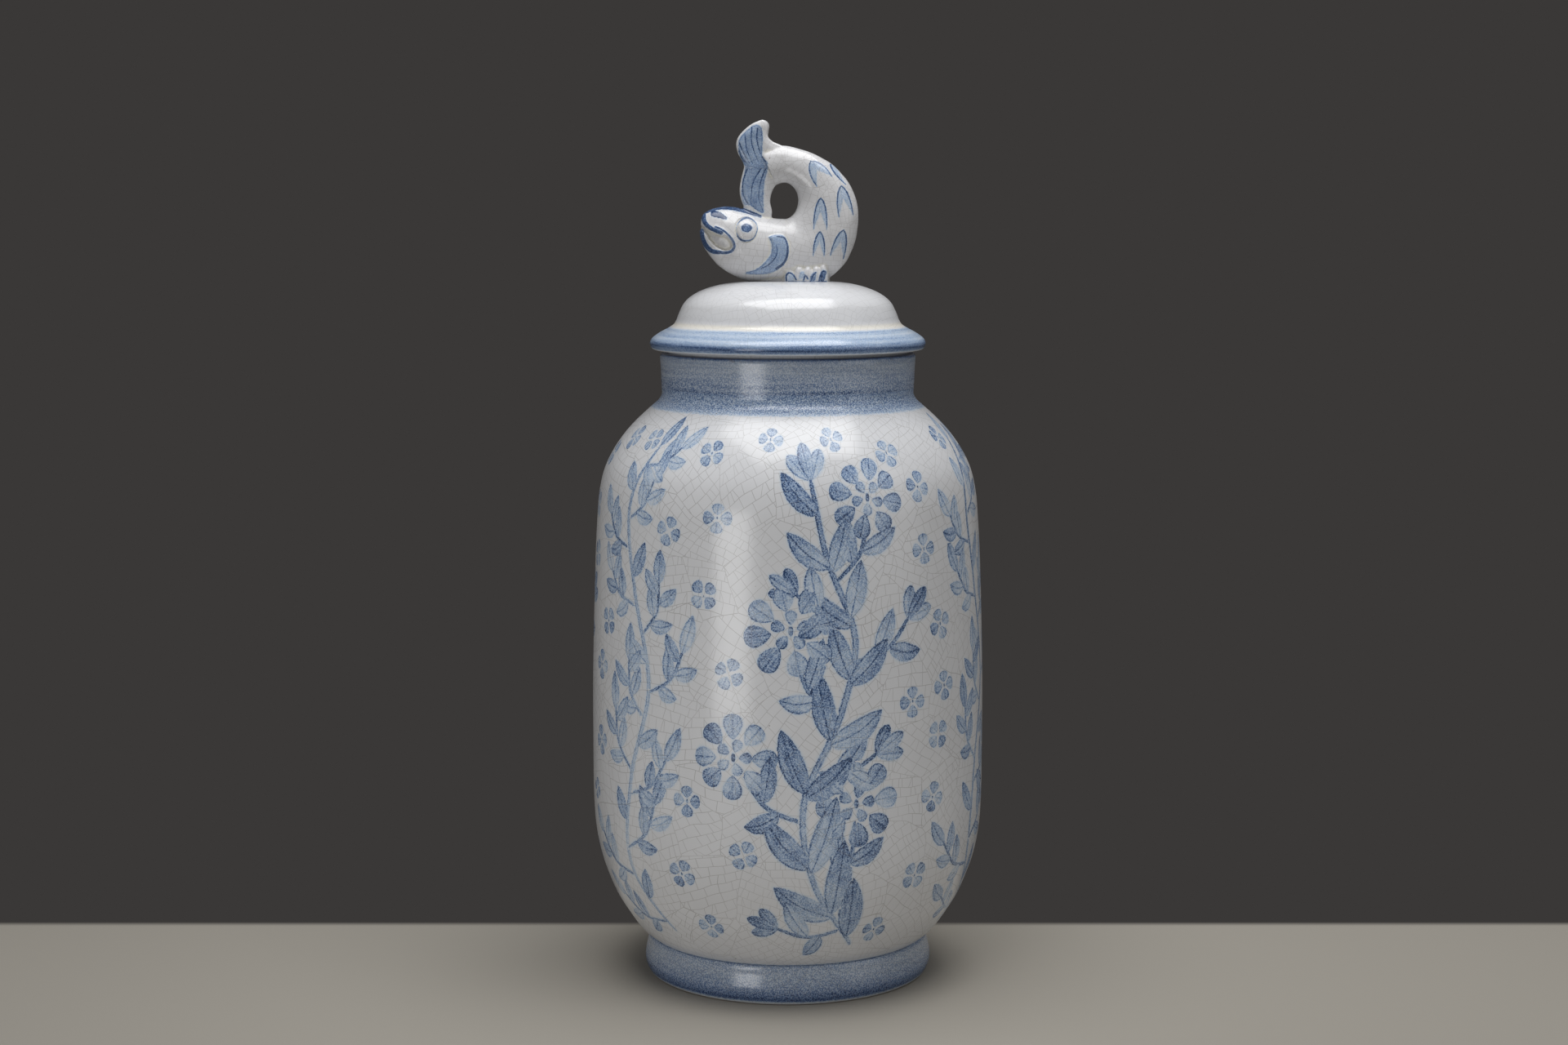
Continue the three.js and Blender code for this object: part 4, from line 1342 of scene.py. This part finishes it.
@dataclass
class FishKnob:
    """The lid's knob: a hand-modelled fish, whose tail stands on its head and leaves a loop for a finger."""

    voxel: float = 0.46
    loop_x: float = -2.0
    loop_z: float = 417.6
    loop_half_width: float = 7.5
    loop_half_height: float = 9.6
    belly_half_width: float = 13.4
    dome_top: float = 375.0
    lip: float = 3.2
    eye_x: float = -21.7
    eye_z: float = 402.5
    eye_wide: float = 5.3
    eye_tall: float = 5.9
    net: Crazing = Crazing(plate=17.0, course=3.3, brick=4.1, width=0.18, strength=0.32, split_share=0.3, lean=4.0)
    head: tuple[tuple[float, float, float, float], ...] = (
        (-2.0, 373.5, 408.2, 13.6), (-8.0, 373.5, 408.6, 13.9), (-14.0, 373.6, 409.8, 14.2),
        (-19.0, 374.3, 411.8, 14.3), (-24.0, 375.8, 413.4, 14.1), (-29.0, 378.0, 414.3, 13.5),
        (-33.5, 380.9, 414.5, 12.5), (-37.5, 384.0, 414.0, 11.2), (-40.8, 387.8, 413.1, 9.7),
        (-43.4, 392.0, 411.6, 7.8), (-45.2, 396.0, 409.2, 5.6), (-46.3, 399.0, 405.6, 3.0),
    )
    trunk: tuple[tuple[float, float, float], ...] = (
        (-90, 35.0, 1.0), (-75, 36.6, 0.99), (-60, 38.4, 0.975), (-45, 38.0, 0.95), (-30, 36.0, 0.92),
        (-15, 33.6, 0.885), (0, 31.0, 0.845), (15, 28.0, 0.8), (30, 24.8, 0.75), (45, 22.0, 0.7), (60, 20.0, 0.65),
        (75, 19.2, 0.6), (90, 19.4, 0.56), (104, 20.0, 0.52), (118, 20.5, 0.49),
    )
    tail_outline: tuple[tuple[float, float], ...] = (
        (-13.5, 460.4), (-19.1, 458.0), (-24.0, 453.9), (-26.8, 450.3), (-27.5, 446.6), (-26.6, 442.8),
        (-24.6, 439.3), (-23.3, 436.3), (-24.3, 431.4), (-25.5, 425.3), (-25.6, 421.7), (-24.7, 418.0),
        (-23.4, 414.6), (-22.5, 409.0), (-11.0, 405.0), (-8.2, 411.3), (-9.3, 417.6), (-8.4, 422.6),
        (-5.0, 427.5), (0.5, 431.0), (2.0, 438.0), (-2.5, 446.0), (-8.0, 448.8), (-10.6, 451.6), (-10.4, 455.2),
        (-10.6, 458.4),
    )
    gape: tuple[tuple[float, float], ...] = (
        (-48.5, 404.4), (-43.4, 403.6), (-39.6, 401.3), (-35.7, 399.9), (-32.3, 398.5), (-29.9, 396.0),
        (-29.1, 393.6), (-30.4, 391.9), (-33.6, 391.4), (-37.6, 393.0), (-40.9, 396.2), (-43.2, 400.0),
        (-45.4, 402.0), (-48.5, 402.0),
    )
    upper_lip: tuple[tuple[float, float], ...] = (
        (-44.8, 410.6), (-44.4, 407.1), (-42.2, 404.2), (-38.8, 402.2), (-35.1, 400.7),
    )
    mouth_corner: tuple[tuple[float, float], ...] = (
        (-38.2, 404.0), (-35.1, 402.7), (-32.0, 400.3), (-29.0, 396.6), (-28.2, 393.2), (-30.0, 391.0),
        (-33.3, 390.2), (-36.4, 390.6),
    )
    lower_lip: tuple[tuple[float, float], ...] = (
        (-46.0, 401.2), (-45.4, 397.6), (-43.4, 393.9), (-40.4, 391.2), (-36.4, 390.4),
    )
    crown: tuple[tuple[float, float], ...] = (
        (-43.4, 412.4), (-38.5, 414.0), (-33.0, 414.4), (-26.0, 413.2), (-20.3, 411.5), (-14.5, 409.4),
    )
    brow: tuple[tuple[float, float], ...] = ((-39.2, 410.9), (-36.9, 410.3), (-34.6, 409.4), (-32.9, 408.4))
    gill: tuple[tuple[float, float], ...] = (
        (-10.1, 398.6), (-6.8, 399.7), (-2.4, 399.2), (-0.5, 396.1), (0.2, 392.5), (-0.5, 387.9), (-2.7, 383.7),
        (-8.0, 379.9), (-15.4, 378.8), (-22.8, 379.4), (-16.6, 381.8), (-11.7, 385.8), (-8.9, 390.0), (-8.6, 394.3),
    )
    gill_edge: tuple[tuple[float, float], ...] = (
        (-5.5, 398.9), (-2.1, 398.3), (-0.5, 395.5), (0.0, 391.9), (-0.6, 387.9), (-2.4, 384.6), (-6.1, 381.8),
    )
    gill_rib: tuple[tuple[float, float], ...] = (
        (-6.1, 394.6), (-5.6, 390.7), (-7.1, 387.0), (-10.5, 383.7), (-14.2, 382.0),
    )
    upper_lobe: tuple[tuple[float, float], ...] = (
        (-16.6, 457.7), (-14.0, 456.4), (-13.2, 450.3), (-13.4, 444.8), (-13.2, 440.4), (-10.4, 437.2),
        (-14.2, 434.9), (-19.1, 434.9), (-22.8, 436.3), (-25.4, 441.8), (-26.3, 446.6), (-25.4, 450.6),
        (-22.4, 453.9), (-19.1, 456.6),
    )
    lower_lobe: tuple[tuple[float, float], ...] = (
        (-22.4, 435.5), (-19.1, 434.8), (-14.2, 435.1), (-10.9, 436.6), (-10.7, 433.9), (-12.2, 427.8),
        (-12.8, 420.5), (-12.8, 414.4), (-12.9, 411.0), (-16.6, 412.6), (-20.0, 415.2), (-22.9, 415.6),
        (-24.6, 421.7), (-23.8, 428.8),
    )
    rays: tuple[tuple[tuple[float, float], ...], ...] = (
        ((-16.0, 455.5), (-16.3, 449.7), (-13.9, 441.2), (-11.6, 438.0)),
        ((-19.1, 456.0), (-19.1, 447.9), (-15.6, 438.0)),
        ((-22.6, 451.6), (-21.6, 444.2), (-18.5, 437.1)),
        ((-25.6, 447.9), (-23.4, 442.2), (-20.3, 437.7)),
        ((-25.8, 443.6), (-24.4, 440.2), (-22.4, 437.7)),
        ((-21.6, 434.3), (-23.9, 426.6), (-23.2, 419.4), (-20.9, 415.4)),
        ((-14.2, 434.5), (-18.6, 426.6), (-19.5, 416.0)),
        ((-11.3, 435.1), (-13.9, 429.0), (-15.4, 419.3), (-13.3, 412.2)),
    )
    scales: tuple[ScaleMark, ...] = (
        ScaleMark(15.8, 433.0, 9.4, 12.6, -34),
        ScaleMark(29.6, 417.4, 7.6, 15.8, -9),
        ScaleMark(17.3, 410.7, 6.8, 16.2, 1),
        ScaleMark(16.7, 394.8, 5.8, 12.6, 3),
        ScaleMark(27.8, 394.9, 7.2, 14.6, 14),
        ScaleMark(27.6, 432.4, 5.0, 13.0, -48),
    )
    tuft_lines: tuple[tuple[tuple[float, float], ...], ...] = (
        ((-0.6, 375.6), (-0.7, 378.4), (0.8, 379.7), (2.8, 378.6), (4.4, 376.2)),
        ((16.7, 374.8), (17.0, 377.2), (18.6, 380.6), (20.0, 380.2)),
        ((12.2, 375.2), (13.4, 378.2), (14.8, 379.8)),
        ((0.4, 374.9), (7.0, 374.7), (13.6, 374.7), (20.4, 375.0)),
        ((8.4, 376.0), (9.4, 378.4), (10.6, 376.6)),
    )
    tuft_washes: tuple[tuple[tuple[float, float], ...], ...] = (
        ((17.2, 374.8), (17.4, 378.0), (18.6, 381.2), (20.4, 380.6), (20.0, 377.6), (18.6, 374.6)),
        ((11.4, 374.8), (12.4, 378.6), (14.6, 380.2), (15.0, 377.4), (13.6, 374.6)),
        ((5.8, 376.4), (6.6, 380.0), (8.6, 380.4), (8.4, 377.2)),
        ((0.2, 375.4), (0.4, 378.6), (2.6, 378.2), (3.4, 375.4)),
    )
    rim_roll: tuple[tuple[float, float, float], ...] = (
        (-13.3, 456.8, 3.5), (-12.9, 453.6, 2.8), (-12.9, 450.4, 2.3), (-11.6, 446.6, 2.8), (-8.4, 442.6, 3.9),
        (-1.0, 437.8, 5.0),
    )
    rim_roll_end: tuple[float, float, float] = (4.0, 434.0, 0.0)
    tuft_lobes: tuple[tuple[float, float, float, float], ...] = (
        (1.2, 9.4, 6.6, 3.2), (6.0, 10.2, 7.6, 3.2), (10.6, 10.2, 7.2, 3.2), (15.0, 9.6, 7.6, 3.2),
        (18.6, 8.8, 8.6, 2.95),
    )

    def loft(self, form: bmesh.types.BMesh, rings: list[Matrix], sides: int = 56) -> None:
        """Skins a row of rings, each a unit circle put in place by a matrix, and closes both ends.

        Args:
            form: The mesh that takes the loft.
            rings: The rings' places.
            sides: The sides of each ring.
        """
        before = None
        for place in rings:
            made = bmesh.ops.create_circle(form, segments=sides, radius=1.0, matrix=place)
            edges = list({edge for corner in made["verts"] for edge in corner.link_edges})
            if before:
                bmesh.ops.bridge_loops(form, edges=before + edges)
            before = edges
        bmesh.ops.holes_fill(form, edges=form.edges, sides=sides)

    def head_rings(self, grow: float = 0.0) -> list[Matrix]:
        """Places the head's rings from the middle of the fish to its lips, swollen or shrunk by a distance."""
        rings = []
        lows = smooth_line([(x, low) for x, low, _, _ in self.head], 1.5)
        highs = np.array(smooth_line([(x, high) for x, _, high, _ in self.head], 1.0))
        wides = np.array([(x, wide) for x, _, _, wide in self.head])
        for x, low in lows:
            high = np.interp(-x, -highs[:, 0], highs[:, 1])
            wide = np.interp(-x, -wides[:, 0], wides[:, 1])
            half = max((high - low) / 2 + grow, 0.4)
            size = Matrix.Diagonal((max(wide + grow, 0.4), half, 1, 1))
            stand = Matrix(((0, 0, 1, 0), (1, 0, 0, 0), (0, 1, 0, 0), (0, 0, 0, 1)))
            rings.append(Matrix.Translation((x, 0, (high + low) / 2)) @ stand @ size)
        return rings

    def trunk_rings(self) -> list[Matrix]:
        """Places the trunk's rings round the finger loop, from under it to the tail's root."""
        stations = np.array(self.trunk)
        thick = np.array(smooth_line([(a, t) for a, t, _ in self.trunk], 2.0))
        rings = []
        for degrees in np.arange(stations[0, 0], stations[-1, 0] + 0.1, 4.0):
            thickness = np.interp(degrees, thick[:, 0], thick[:, 1])
            share = np.interp(degrees, stations[:, 0], stations[:, 2])
            wide = self.belly_half_width * share
            angle = math.radians(degrees)
            outward = Vector((math.cos(angle), 0, math.sin(angle)))
            start = Vector((
                self.loop_x + self.loop_half_width * outward.x,
                0,
                self.loop_z + self.loop_half_height * outward.z,
            ))
            centre = start + outward * thickness / 2
            along = Vector((-outward.z, 0, outward.x))
            axes = Matrix((Vector((0, 1, 0)), outward, along)).transposed().to_4x4()
            size = Matrix.Diagonal((wide, thickness / 2, 1, 1))
            rings.append(Matrix.Translation(centre) @ axes @ size)
        return rings

    def plate(self, form: bmesh.types.BMesh, outline: Points, half: float, crown: float) -> None:
        """Adds a slab in the fish's plane whose faces swell towards the middle.

        Args:
            form: The mesh that takes the slab.
            outline: Its outline, as X and Z.
            half: Half its thickness at the rim.
            crown: How much further each face swells.
        """
        ring = smooth_line([*outline, outline[0]], 1.2)[:-1]
        corners = [form.verts.new((x, -half, z)) for x, z in ring]
        face = form.faces.new(corners)
        grown = bmesh.ops.extrude_face_region(form, geom=[face])
        moved = [part for part in grown["geom"] if isinstance(part, bmesh.types.BMVert)]
        bmesh.ops.translate(form, verts=moved, vec=(0, 2 * half, 0))
        far = [part for part in grown["geom"] if isinstance(part, bmesh.types.BMFace)]
        bmesh.ops.recalc_face_normals(form, faces=form.faces)
        for width in (1.6, 1.6):
            bmesh.ops.inset_region(form, faces=[face, *far], thickness=width, depth=crown / 2)

    def lobe(self, form: bmesh.types.BMesh, place: Vector, size: Vector, lean: float) -> None:
        """Adds a rounded lobe of clay that leans outwards from the fish."""
        turn = Matrix.Rotation(lean, 4, "X")
        matrix = Matrix.Translation(place) @ turn @ Matrix.Diagonal((*size, 1))
        bmesh.ops.create_uvsphere(form, u_segments=20, v_segments=14, radius=1.0, matrix=matrix)

    def reshaped(self, form: bmesh.types.BMesh, *steps: tuple[str, dict]) -> bpy.types.Mesh:
        """Runs modifiers on a form and returns the mesh that they make.

        Args:
            form: The form, which is used up.
            steps: Each modifier's type and settings, in order.

        Returns:
            The new mesh.
        """
        lump = in_scene("clay", mesh_of("clay", form))
        for kind, settings in steps:
            modifier = lump.modifiers.new(kind, kind)
            for name, value in settings.items():
                setattr(modifier, name, value)
        graph = bpy.context.evaluated_depsgraph_get()
        made = bpy.data.meshes.new_from_object(lump.evaluated_get(graph))
        bpy.data.objects.remove(lump)
        return made

    def shaped(self, build: Callable[[bmesh.types.BMesh], None]) -> bmesh.types.BMesh:
        """Starts a form, builds it in one way and turns its faces outwards."""
        form = bmesh.new()
        build(form)
        bmesh.ops.recalc_face_normals(form, faces=form.faces)
        return form

    def add_tufts(self, form: bmesh.types.BMesh) -> None:
        """Adds the belly fins' lobes on both sides, and the pad of clay that the fish stands on."""
        for side in (1, -1):
            for x, out, tall, wide in self.tuft_lobes:
                place = Vector((x, side * out, self.dome_top + 0.6))
                self.lobe(form, place, Vector((wide, 3.2, tall)), side * -0.2)
        self.lobe(form, Vector((1.5, 0, self.dome_top)), Vector((21.5, 9.6, 5.4)), 0.0)

    def add_rim_roll(self, form: bmesh.types.BMesh) -> None:
        """Adds the rounded roll of clay down the tail's back edge."""
        rings = []
        for (x, z, radius), (next_x, next_z, _) in zip(self.rim_roll, [*self.rim_roll[1:], self.rim_roll_end]):
            along = Vector((next_x - x, 0, next_z - z)).normalized()
            axes = Matrix((Vector((0, 1, 0)), along.cross(Vector((0, 1, 0))), along)).transposed().to_4x4()
            rings.append(Matrix.Translation((x, 0, z)) @ axes @ Matrix.Diagonal((radius * 1.12, radius, 1, 1)))
        self.loft(form, rings, 28)
        self.lobe(form, Vector((-13.4, 0, 456.7)), Vector((3.8, 4.0, 3.6)), 0.0)

    def clay(self) -> bpy.types.Mesh:
        """Models the fish's clay: lofted trunk and head, tail, tufts, and the open mouth.

        Returns:
            A smooth closed mesh.
        """
        cavity = self.shaped(lambda form: self.loft(form, self.head_rings(-self.lip)))
        inner_mouth = in_scene("inner_mouth", mesh_of("inner_mouth", cavity))
        slot = bmesh.new()
        self.plate(slot, list(self.gape), 16.0, 0.0)
        cut = self.reshaped(slot, ("BOOLEAN", {"operation": "DIFFERENCE", "object": inner_mouth}))
        gape = in_scene("gape", cut)
        head = self.shaped(lambda form: self.loft(form, self.head_rings()))
        tail = bmesh.new()
        self.plate(tail, list(self.tail_outline), 2.9, 1.3)
        lump = bmesh.new()
        lump.from_mesh(self.reshaped(head, ("BOOLEAN", {"operation": "DIFFERENCE", "object": gape})))
        trunk = self.shaped(lambda form: self.loft(form, self.trunk_rings()))
        for part in (trunk, tail, self.shaped(self.add_tufts), self.shaped(self.add_rim_roll)):
            lump.from_mesh(mesh_of("part", part))
        made = self.reshaped(
            lump,
            ("REMESH", {"mode": "VOXEL", "voxel_size": self.voxel}),
            ("SMOOTH", {"factor": 0.5, "iterations": 14}),
        )
        for tool in (inner_mouth, gape):
            bpy.data.objects.remove(tool)
        return made

    def cheek(self, normals: np.ndarray) -> np.ndarray:
        """Gives how squarely each point faces sideways, from 0 to 1."""
        return smooth_step(abs(normals[:, 1]), 0.15, 0.5)

    def eye_reach(self, spots: np.ndarray) -> np.ndarray:
        """Gives how far spots lie from the eye's middle, with 1 on its edge."""
        return np.hypot((spots[:, 0] - self.eye_x) / self.eye_wide, (spots[:, 1] - self.eye_z) / self.eye_tall)

    def relief(self, places: np.ndarray, normals: np.ndarray) -> np.ndarray:
        """Works out how far the modelling tool raised or pressed each point.

        Args:
            places: The points.
            normals: Their directions outwards.

        Returns:
            Millimetres outwards.
        """
        spots = places[:, [0, 2]]
        sideways = self.cheek(normals)
        lift = np.zeros(len(places))
        across = self.eye_reach(spots)
        lift += sideways * 1.5 * np.sqrt(np.clip(1 - across**2, 0, 1))
        lift -= sideways * 0.45 * np.exp(-(((across - 1.1) / 0.09) ** 2))
        near = (spots[:, 0] < 4) & (spots[:, 1] < 404) & (abs(places[:, 1]) > 4)
        depth = np.full(len(places), -FAR)
        depth[near] = region_depth(spots[near], list(self.gill))
        lift += 1.3 * smooth_step(depth, -0.5, 1.3)
        for line, rise, wide in (
            (self.upper_lip, 0.55, 1.5), (self.lower_lip, 0.8, 1.6), (self.mouth_corner, 0.35, 1.0),
            (self.gill_rib, -0.25, 0.5),
        ):
            away, _ = line_distance(spots, list(line))
            lift += rise * np.exp(-((away / wide) ** 2))
        tail = (spots[:, 0] < -8) & (spots[:, 1] > 410)
        for ray in self.rays:
            away, _ = line_distance(spots[tail], list(ray))
            lift[tail] -= 0.22 * np.exp(-((away / 0.5) ** 2)) * sideways[tail]
        return lift

    def brushwork(self, places: np.ndarray, normals: np.ndarray) -> tuple[np.ndarray, np.ndarray, np.ndarray]:
        """Works out the fish's painted lines and washes.

        Args:
            places: The points.
            normals: Their directions outwards.

        Returns:
            How far inside a line and inside a wash each point lies, in millimetres, and how loaded the wash's
            brush is.
        """
        spots = places[:, [0, 2]]
        sideways = self.cheek(normals)
        line = np.full(len(places), -BARE)
        wash = np.full(len(places), -BARE)
        load = np.ones(len(places))

        def wash_over(rows: np.ndarray, depth: np.ndarray, strength: float) -> None:
            """Lays a wash on some points where it reaches deeper than those before it."""
            deeper = depth > wash[rows]
            wash[rows[deeper]] = depth[deeper]
            load[rows[deeper]] = strength

        head = np.flatnonzero(spots[:, 0] < 4)
        for mark, thick, thin in (
            (self.upper_lip, 1.3, 0.9), (self.lower_lip, 1.6, 1.0), (self.mouth_corner, 0.4, 0.75),
            (self.gill_edge, 0.35, 0.7), (self.gill_rib, 0.25, 0.4),
        ):
            away, share = line_distance(spots[head], list(mark))
            line[head] = np.maximum(line[head], thick + (thin - thick) * share - away)
        for ray in self.rays:
            away, share = line_distance(spots[head], list(ray))
            line[head] = np.maximum(line[head], 0.42 - 0.16 * share - away)
        flank = head[(abs(places[head, 1]) > 4) | (spots[head, 1] > 404) | (spots[head, 0] < -26)]
        for region, strength in ((self.gill, 0.86), (self.upper_lobe, 0.92), (self.lower_lobe, 0.92)):
            wash_over(flank, region_depth(spots[flank], list(region)), strength)
        for mark, thick, strength in ((self.crown, 1.5, 1.75), (self.brow, 1.7, 2.4)):
            away, share = line_distance(spots[head], list(mark))
            wash_over(head, thick * (1 - 0.5 * share**2) - away, strength)
        painted = np.flatnonzero(sideways > 0.05)
        for mark in self.scales:
            marked, washed = mark.fields(spots[painted])
            line[painted] = np.maximum(line[painted], marked)
            wash_over(painted, washed, 0.5)
        tuft = np.flatnonzero((abs(places[:, 1]) > 6) & (spots[:, 1] < 384) & (spots[:, 0] > -4))
        for mark in self.tuft_lines:
            away, _ = line_distance(spots[tuft], list(mark))
            line[tuft] = np.maximum(line[tuft], 0.42 - away)
        for region, strength in zip(self.tuft_washes, (1.5, 0.9, 0.5, 0.5)):
            wash_over(tuft, region_depth(spots[tuft], list(region)), strength)
        eye = self.eye_reach(spots)
        bearing = np.arctan2(spots[:, 1] - self.eye_z, spots[:, 0] - self.eye_x)
        wander = 0.03 * np.sin(2 * bearing + 0.6) + 0.02 * np.sin(5 * bearing)
        thick = 0.26 + 0.16 * np.sin(bearing * 2 - 1.2) + 0.1 * np.sin(bearing * 3 + 2)
        ring = np.where(sideways > 0.05, thick - abs(eye - 1.04 - wander) * 5.6, -BARE)
        pupil = np.hypot((spots[:, 0] - self.eye_x + 0.1) / 2.9, (spots[:, 1] - self.eye_z - 0.8) / 2.3)
        line = np.maximum(line, ring)
        wash_over(painted, (1 - pupil[painted]) * 2.5, 1.7)
        return line, wash, load

    def hollows(self, mesh: bpy.types.Mesh, places: np.ndarray, normals: np.ndarray) -> np.ndarray:
        """Measures how far each point lies in a hollow of the modelling, in millimetres."""
        ends = read(mesh.edges, "vertices", width=2)
        count = np.bincount(ends.ravel(), minlength=len(places))
        smooth = places.copy()
        for _ in range(24):
            total = np.zeros_like(smooth)
            for axis in range(3):
                total[:, axis] = np.bincount(ends[:, 0], smooth[ends[:, 1], axis], len(places))
                total[:, axis] += np.bincount(ends[:, 1], smooth[ends[:, 0], axis], len(places))
            smooth = total / count[:, None]
        return ((smooth - places) * normals).sum(1)

    def build(self) -> None:
        """Models, paints and places the fish."""
        mesh = self.clay()
        places = vertex_places(mesh)
        normals = read(mesh.vertices, "normal", np.float32, 3).astype(float)
        lumps = np.array([noise.noise(Vector(spot) / 11) * 0.35 + noise.noise(Vector(spot) / 4) * 0.08
                          for spot in places])
        places += normals * (self.relief(places, normals) + lumps)[:, None]
        mesh.vertices.foreach_set("co", places.astype(np.float32).ravel())
        mesh.update()
        for name, values in zip(("line", "wash", "load"), self.brushwork(places, normals)):
            set_attribute(mesh, name, "FLOAT", "POINT", values)
        set_attribute(mesh, "hollow", "FLOAT", "POINT", self.hollows(mesh, places, normals))
        mesh.polygons.foreach_set("use_smooth", [True] * len(mesh.polygons))
        finish = ModelledGlaze("modelled_fish_glaze", white="#D3D3D5", thick="#D8D6CF", net=self.net,
                               roughness=0.17, grain=0.24, fleck_mm=0.5, unrolling=Unrolling.SOLID)
        nodes = ["fish_body", "tail_fin", "gill_fin_left", "gill_fin_right", "eye_left", "eye_right",
                 "belly_fin_left", "belly_fin_right"]
        finished_piece("fish_knob", mesh, [finish.material()], "lid", nodes)


@dataclass(frozen=True)
class SoftBox:
    """A rectangular studio lamp that faces the jar."""

    name: str
    azimuth: float
    distance: float
    height: float
    width: float
    tall: float
    power: float
    aim: float = 0.25
    spread: float = 180

    def place(self) -> None:
        """Hangs the lamp: azimuth in degrees from the front, positive to the right, and lengths in metres."""
        lamp = bpy.data.lights.new(self.name, "AREA")
        lamp.shape = "RECTANGLE"
        lamp.size = self.width
        lamp.size_y = self.tall
        lamp.energy = self.power
        lamp.spread = math.radians(self.spread)
        turn = math.radians(self.azimuth)
        spot = Vector((math.sin(turn) * self.distance, -math.cos(turn) * self.distance, self.height))
        made = in_scene(self.name, lamp)
        made.location = spot
        made.rotation_euler = (Vector((0, 0, self.aim)) - spot).to_track_quat("-Z", "Y").to_euler()


@dataclass
class Studio:
    """The camera, floor, backdrop and lamps, at the photograph's angle."""

    lens: float = 58.5
    distance: float = 1.3672
    camera_height: float = 0.4093
    pitch: float = 6.85
    axis_pixel: float = 964.5
    image_width: int = 1920
    pixel_size: float = 0.0004395
    table_edge: float = 0.0785
    fade: tuple[float, float] = (0.46, 0.95)
    room_light: float = 0.12
    floor_colour: str = "#9E9990"
    back_colour: str = "#3A3837"
    lamps: tuple[SoftBox, ...] = (
        SoftBox("left_soft_box", -30.5, 0.75, 0.19, 0.27, 0.34, 0.27, 0.19, 80),
        SoftBox("top_soft_box", 20, 0.18, 1.5, 1.2, 1.0, 19.5, 0.3),
        SoftBox("right_fill", 62, 1.7, 0.8, 1.2, 1.4, 4.2),
    )

    def camera(self) -> None:
        """Sets the camera up."""
        made = bpy.data.cameras.new("camera")
        made.lens = self.lens
        made.sensor_width = 36.0
        made.clip_start = 0.05
        made.clip_end = 60.0
        camera = in_scene("camera", made)
        side = (self.image_width / 2 - self.axis_pixel) * self.pixel_size
        camera.location = (side, -self.distance, self.camera_height)
        camera.rotation_euler = (math.radians(90 - self.pitch), 0, 0)
        bpy.context.scene.camera = camera

    def seen(self, tree: Tree):
        """Gives 1 to a ray that shows or mirrors the room, and 0 to one that only brings its light."""
        rays = tree.node("LightPath").node.outputs
        seen = tree.node("Math", rays["Is Camera Ray"], rays["Is Glossy Ray"], operation="MAXIMUM")
        return tree.node("Math", seen, rays["Is Transmission Ray"], operation="MAXIMUM")

    def floor(self) -> None:
        """Lays a plain table top that ends close behind the jar and turns to the backdrop's grey further off."""
        form = bmesh.new()
        bmesh.ops.create_circle(form, cap_ends=True, segments=96, radius=9.0)
        mesh = mesh_of("floor", form)
        made = bpy.data.materials.new("matt_studio_paper")
        tree = blank_tree(made)
        place = tree.node("TexCoord", out="Object")
        away = tree.node("VectorMath", place, operation="LENGTH", out="Value")
        near, far = self.fade
        share = tree.node("MapRange", away, near, far, 0.0, 1.0, interpolation_type="SMOOTHSTEP")
        behind = tree.node("SeparateXYZ", place, out="Y")
        blur = 4 * MM
        behind = tree.node("MapRange", behind, self.table_edge - blur, self.table_edge + blur, 0.0, 1.0)
        share = tree.node("Math", share, behind, operation="MAXIMUM")
        share = tree.node("Math", share, self.seen(tree), operation="MULTIPLY")
        shader = tree.node("BsdfPrincipled", at={"Base Color": linear(self.floor_colour), "Roughness": 0.7})
        glow = tree.node("Emission", linear(self.back_colour), 1.0)
        tree.node("OutputMaterial", tree.node("MixShader", share, shader, glow))
        mesh.materials.append(made)
        in_scene("floor", mesh)

    def backdrop(self) -> None:
        """Gives the room a plain grey to be seen and mirrored, and a soft even light of its own."""
        world = bpy.data.worlds.new("studio")
        bpy.context.scene.world = world
        tree = blank_tree(world)
        soft = tree.node("Background", (1.0, 1.0, 1.0, 1.0), self.room_light)
        grey = tree.node("Background", linear(self.back_colour), 1.0)
        tree.node("OutputWorld", tree.node("MixShader", self.seen(tree), soft, grey))

    def build(self) -> None:
        """Builds the whole studio."""
        bpy.context.scene.view_settings.view_transform = "Standard"
        self.camera()
        self.floor()
        self.backdrop()
        for lamp in self.lamps:
            lamp.place()


def main() -> None:
    """Builds the studio, the jar, the lid and its knob."""
    logging.basicConfig(level=logging.INFO, format="%(name)s: %(message)s")
    Studio().build()
    Jar().build()
    Lid().build()
    FishKnob().build()


if __name__ == "__main__":
    main()
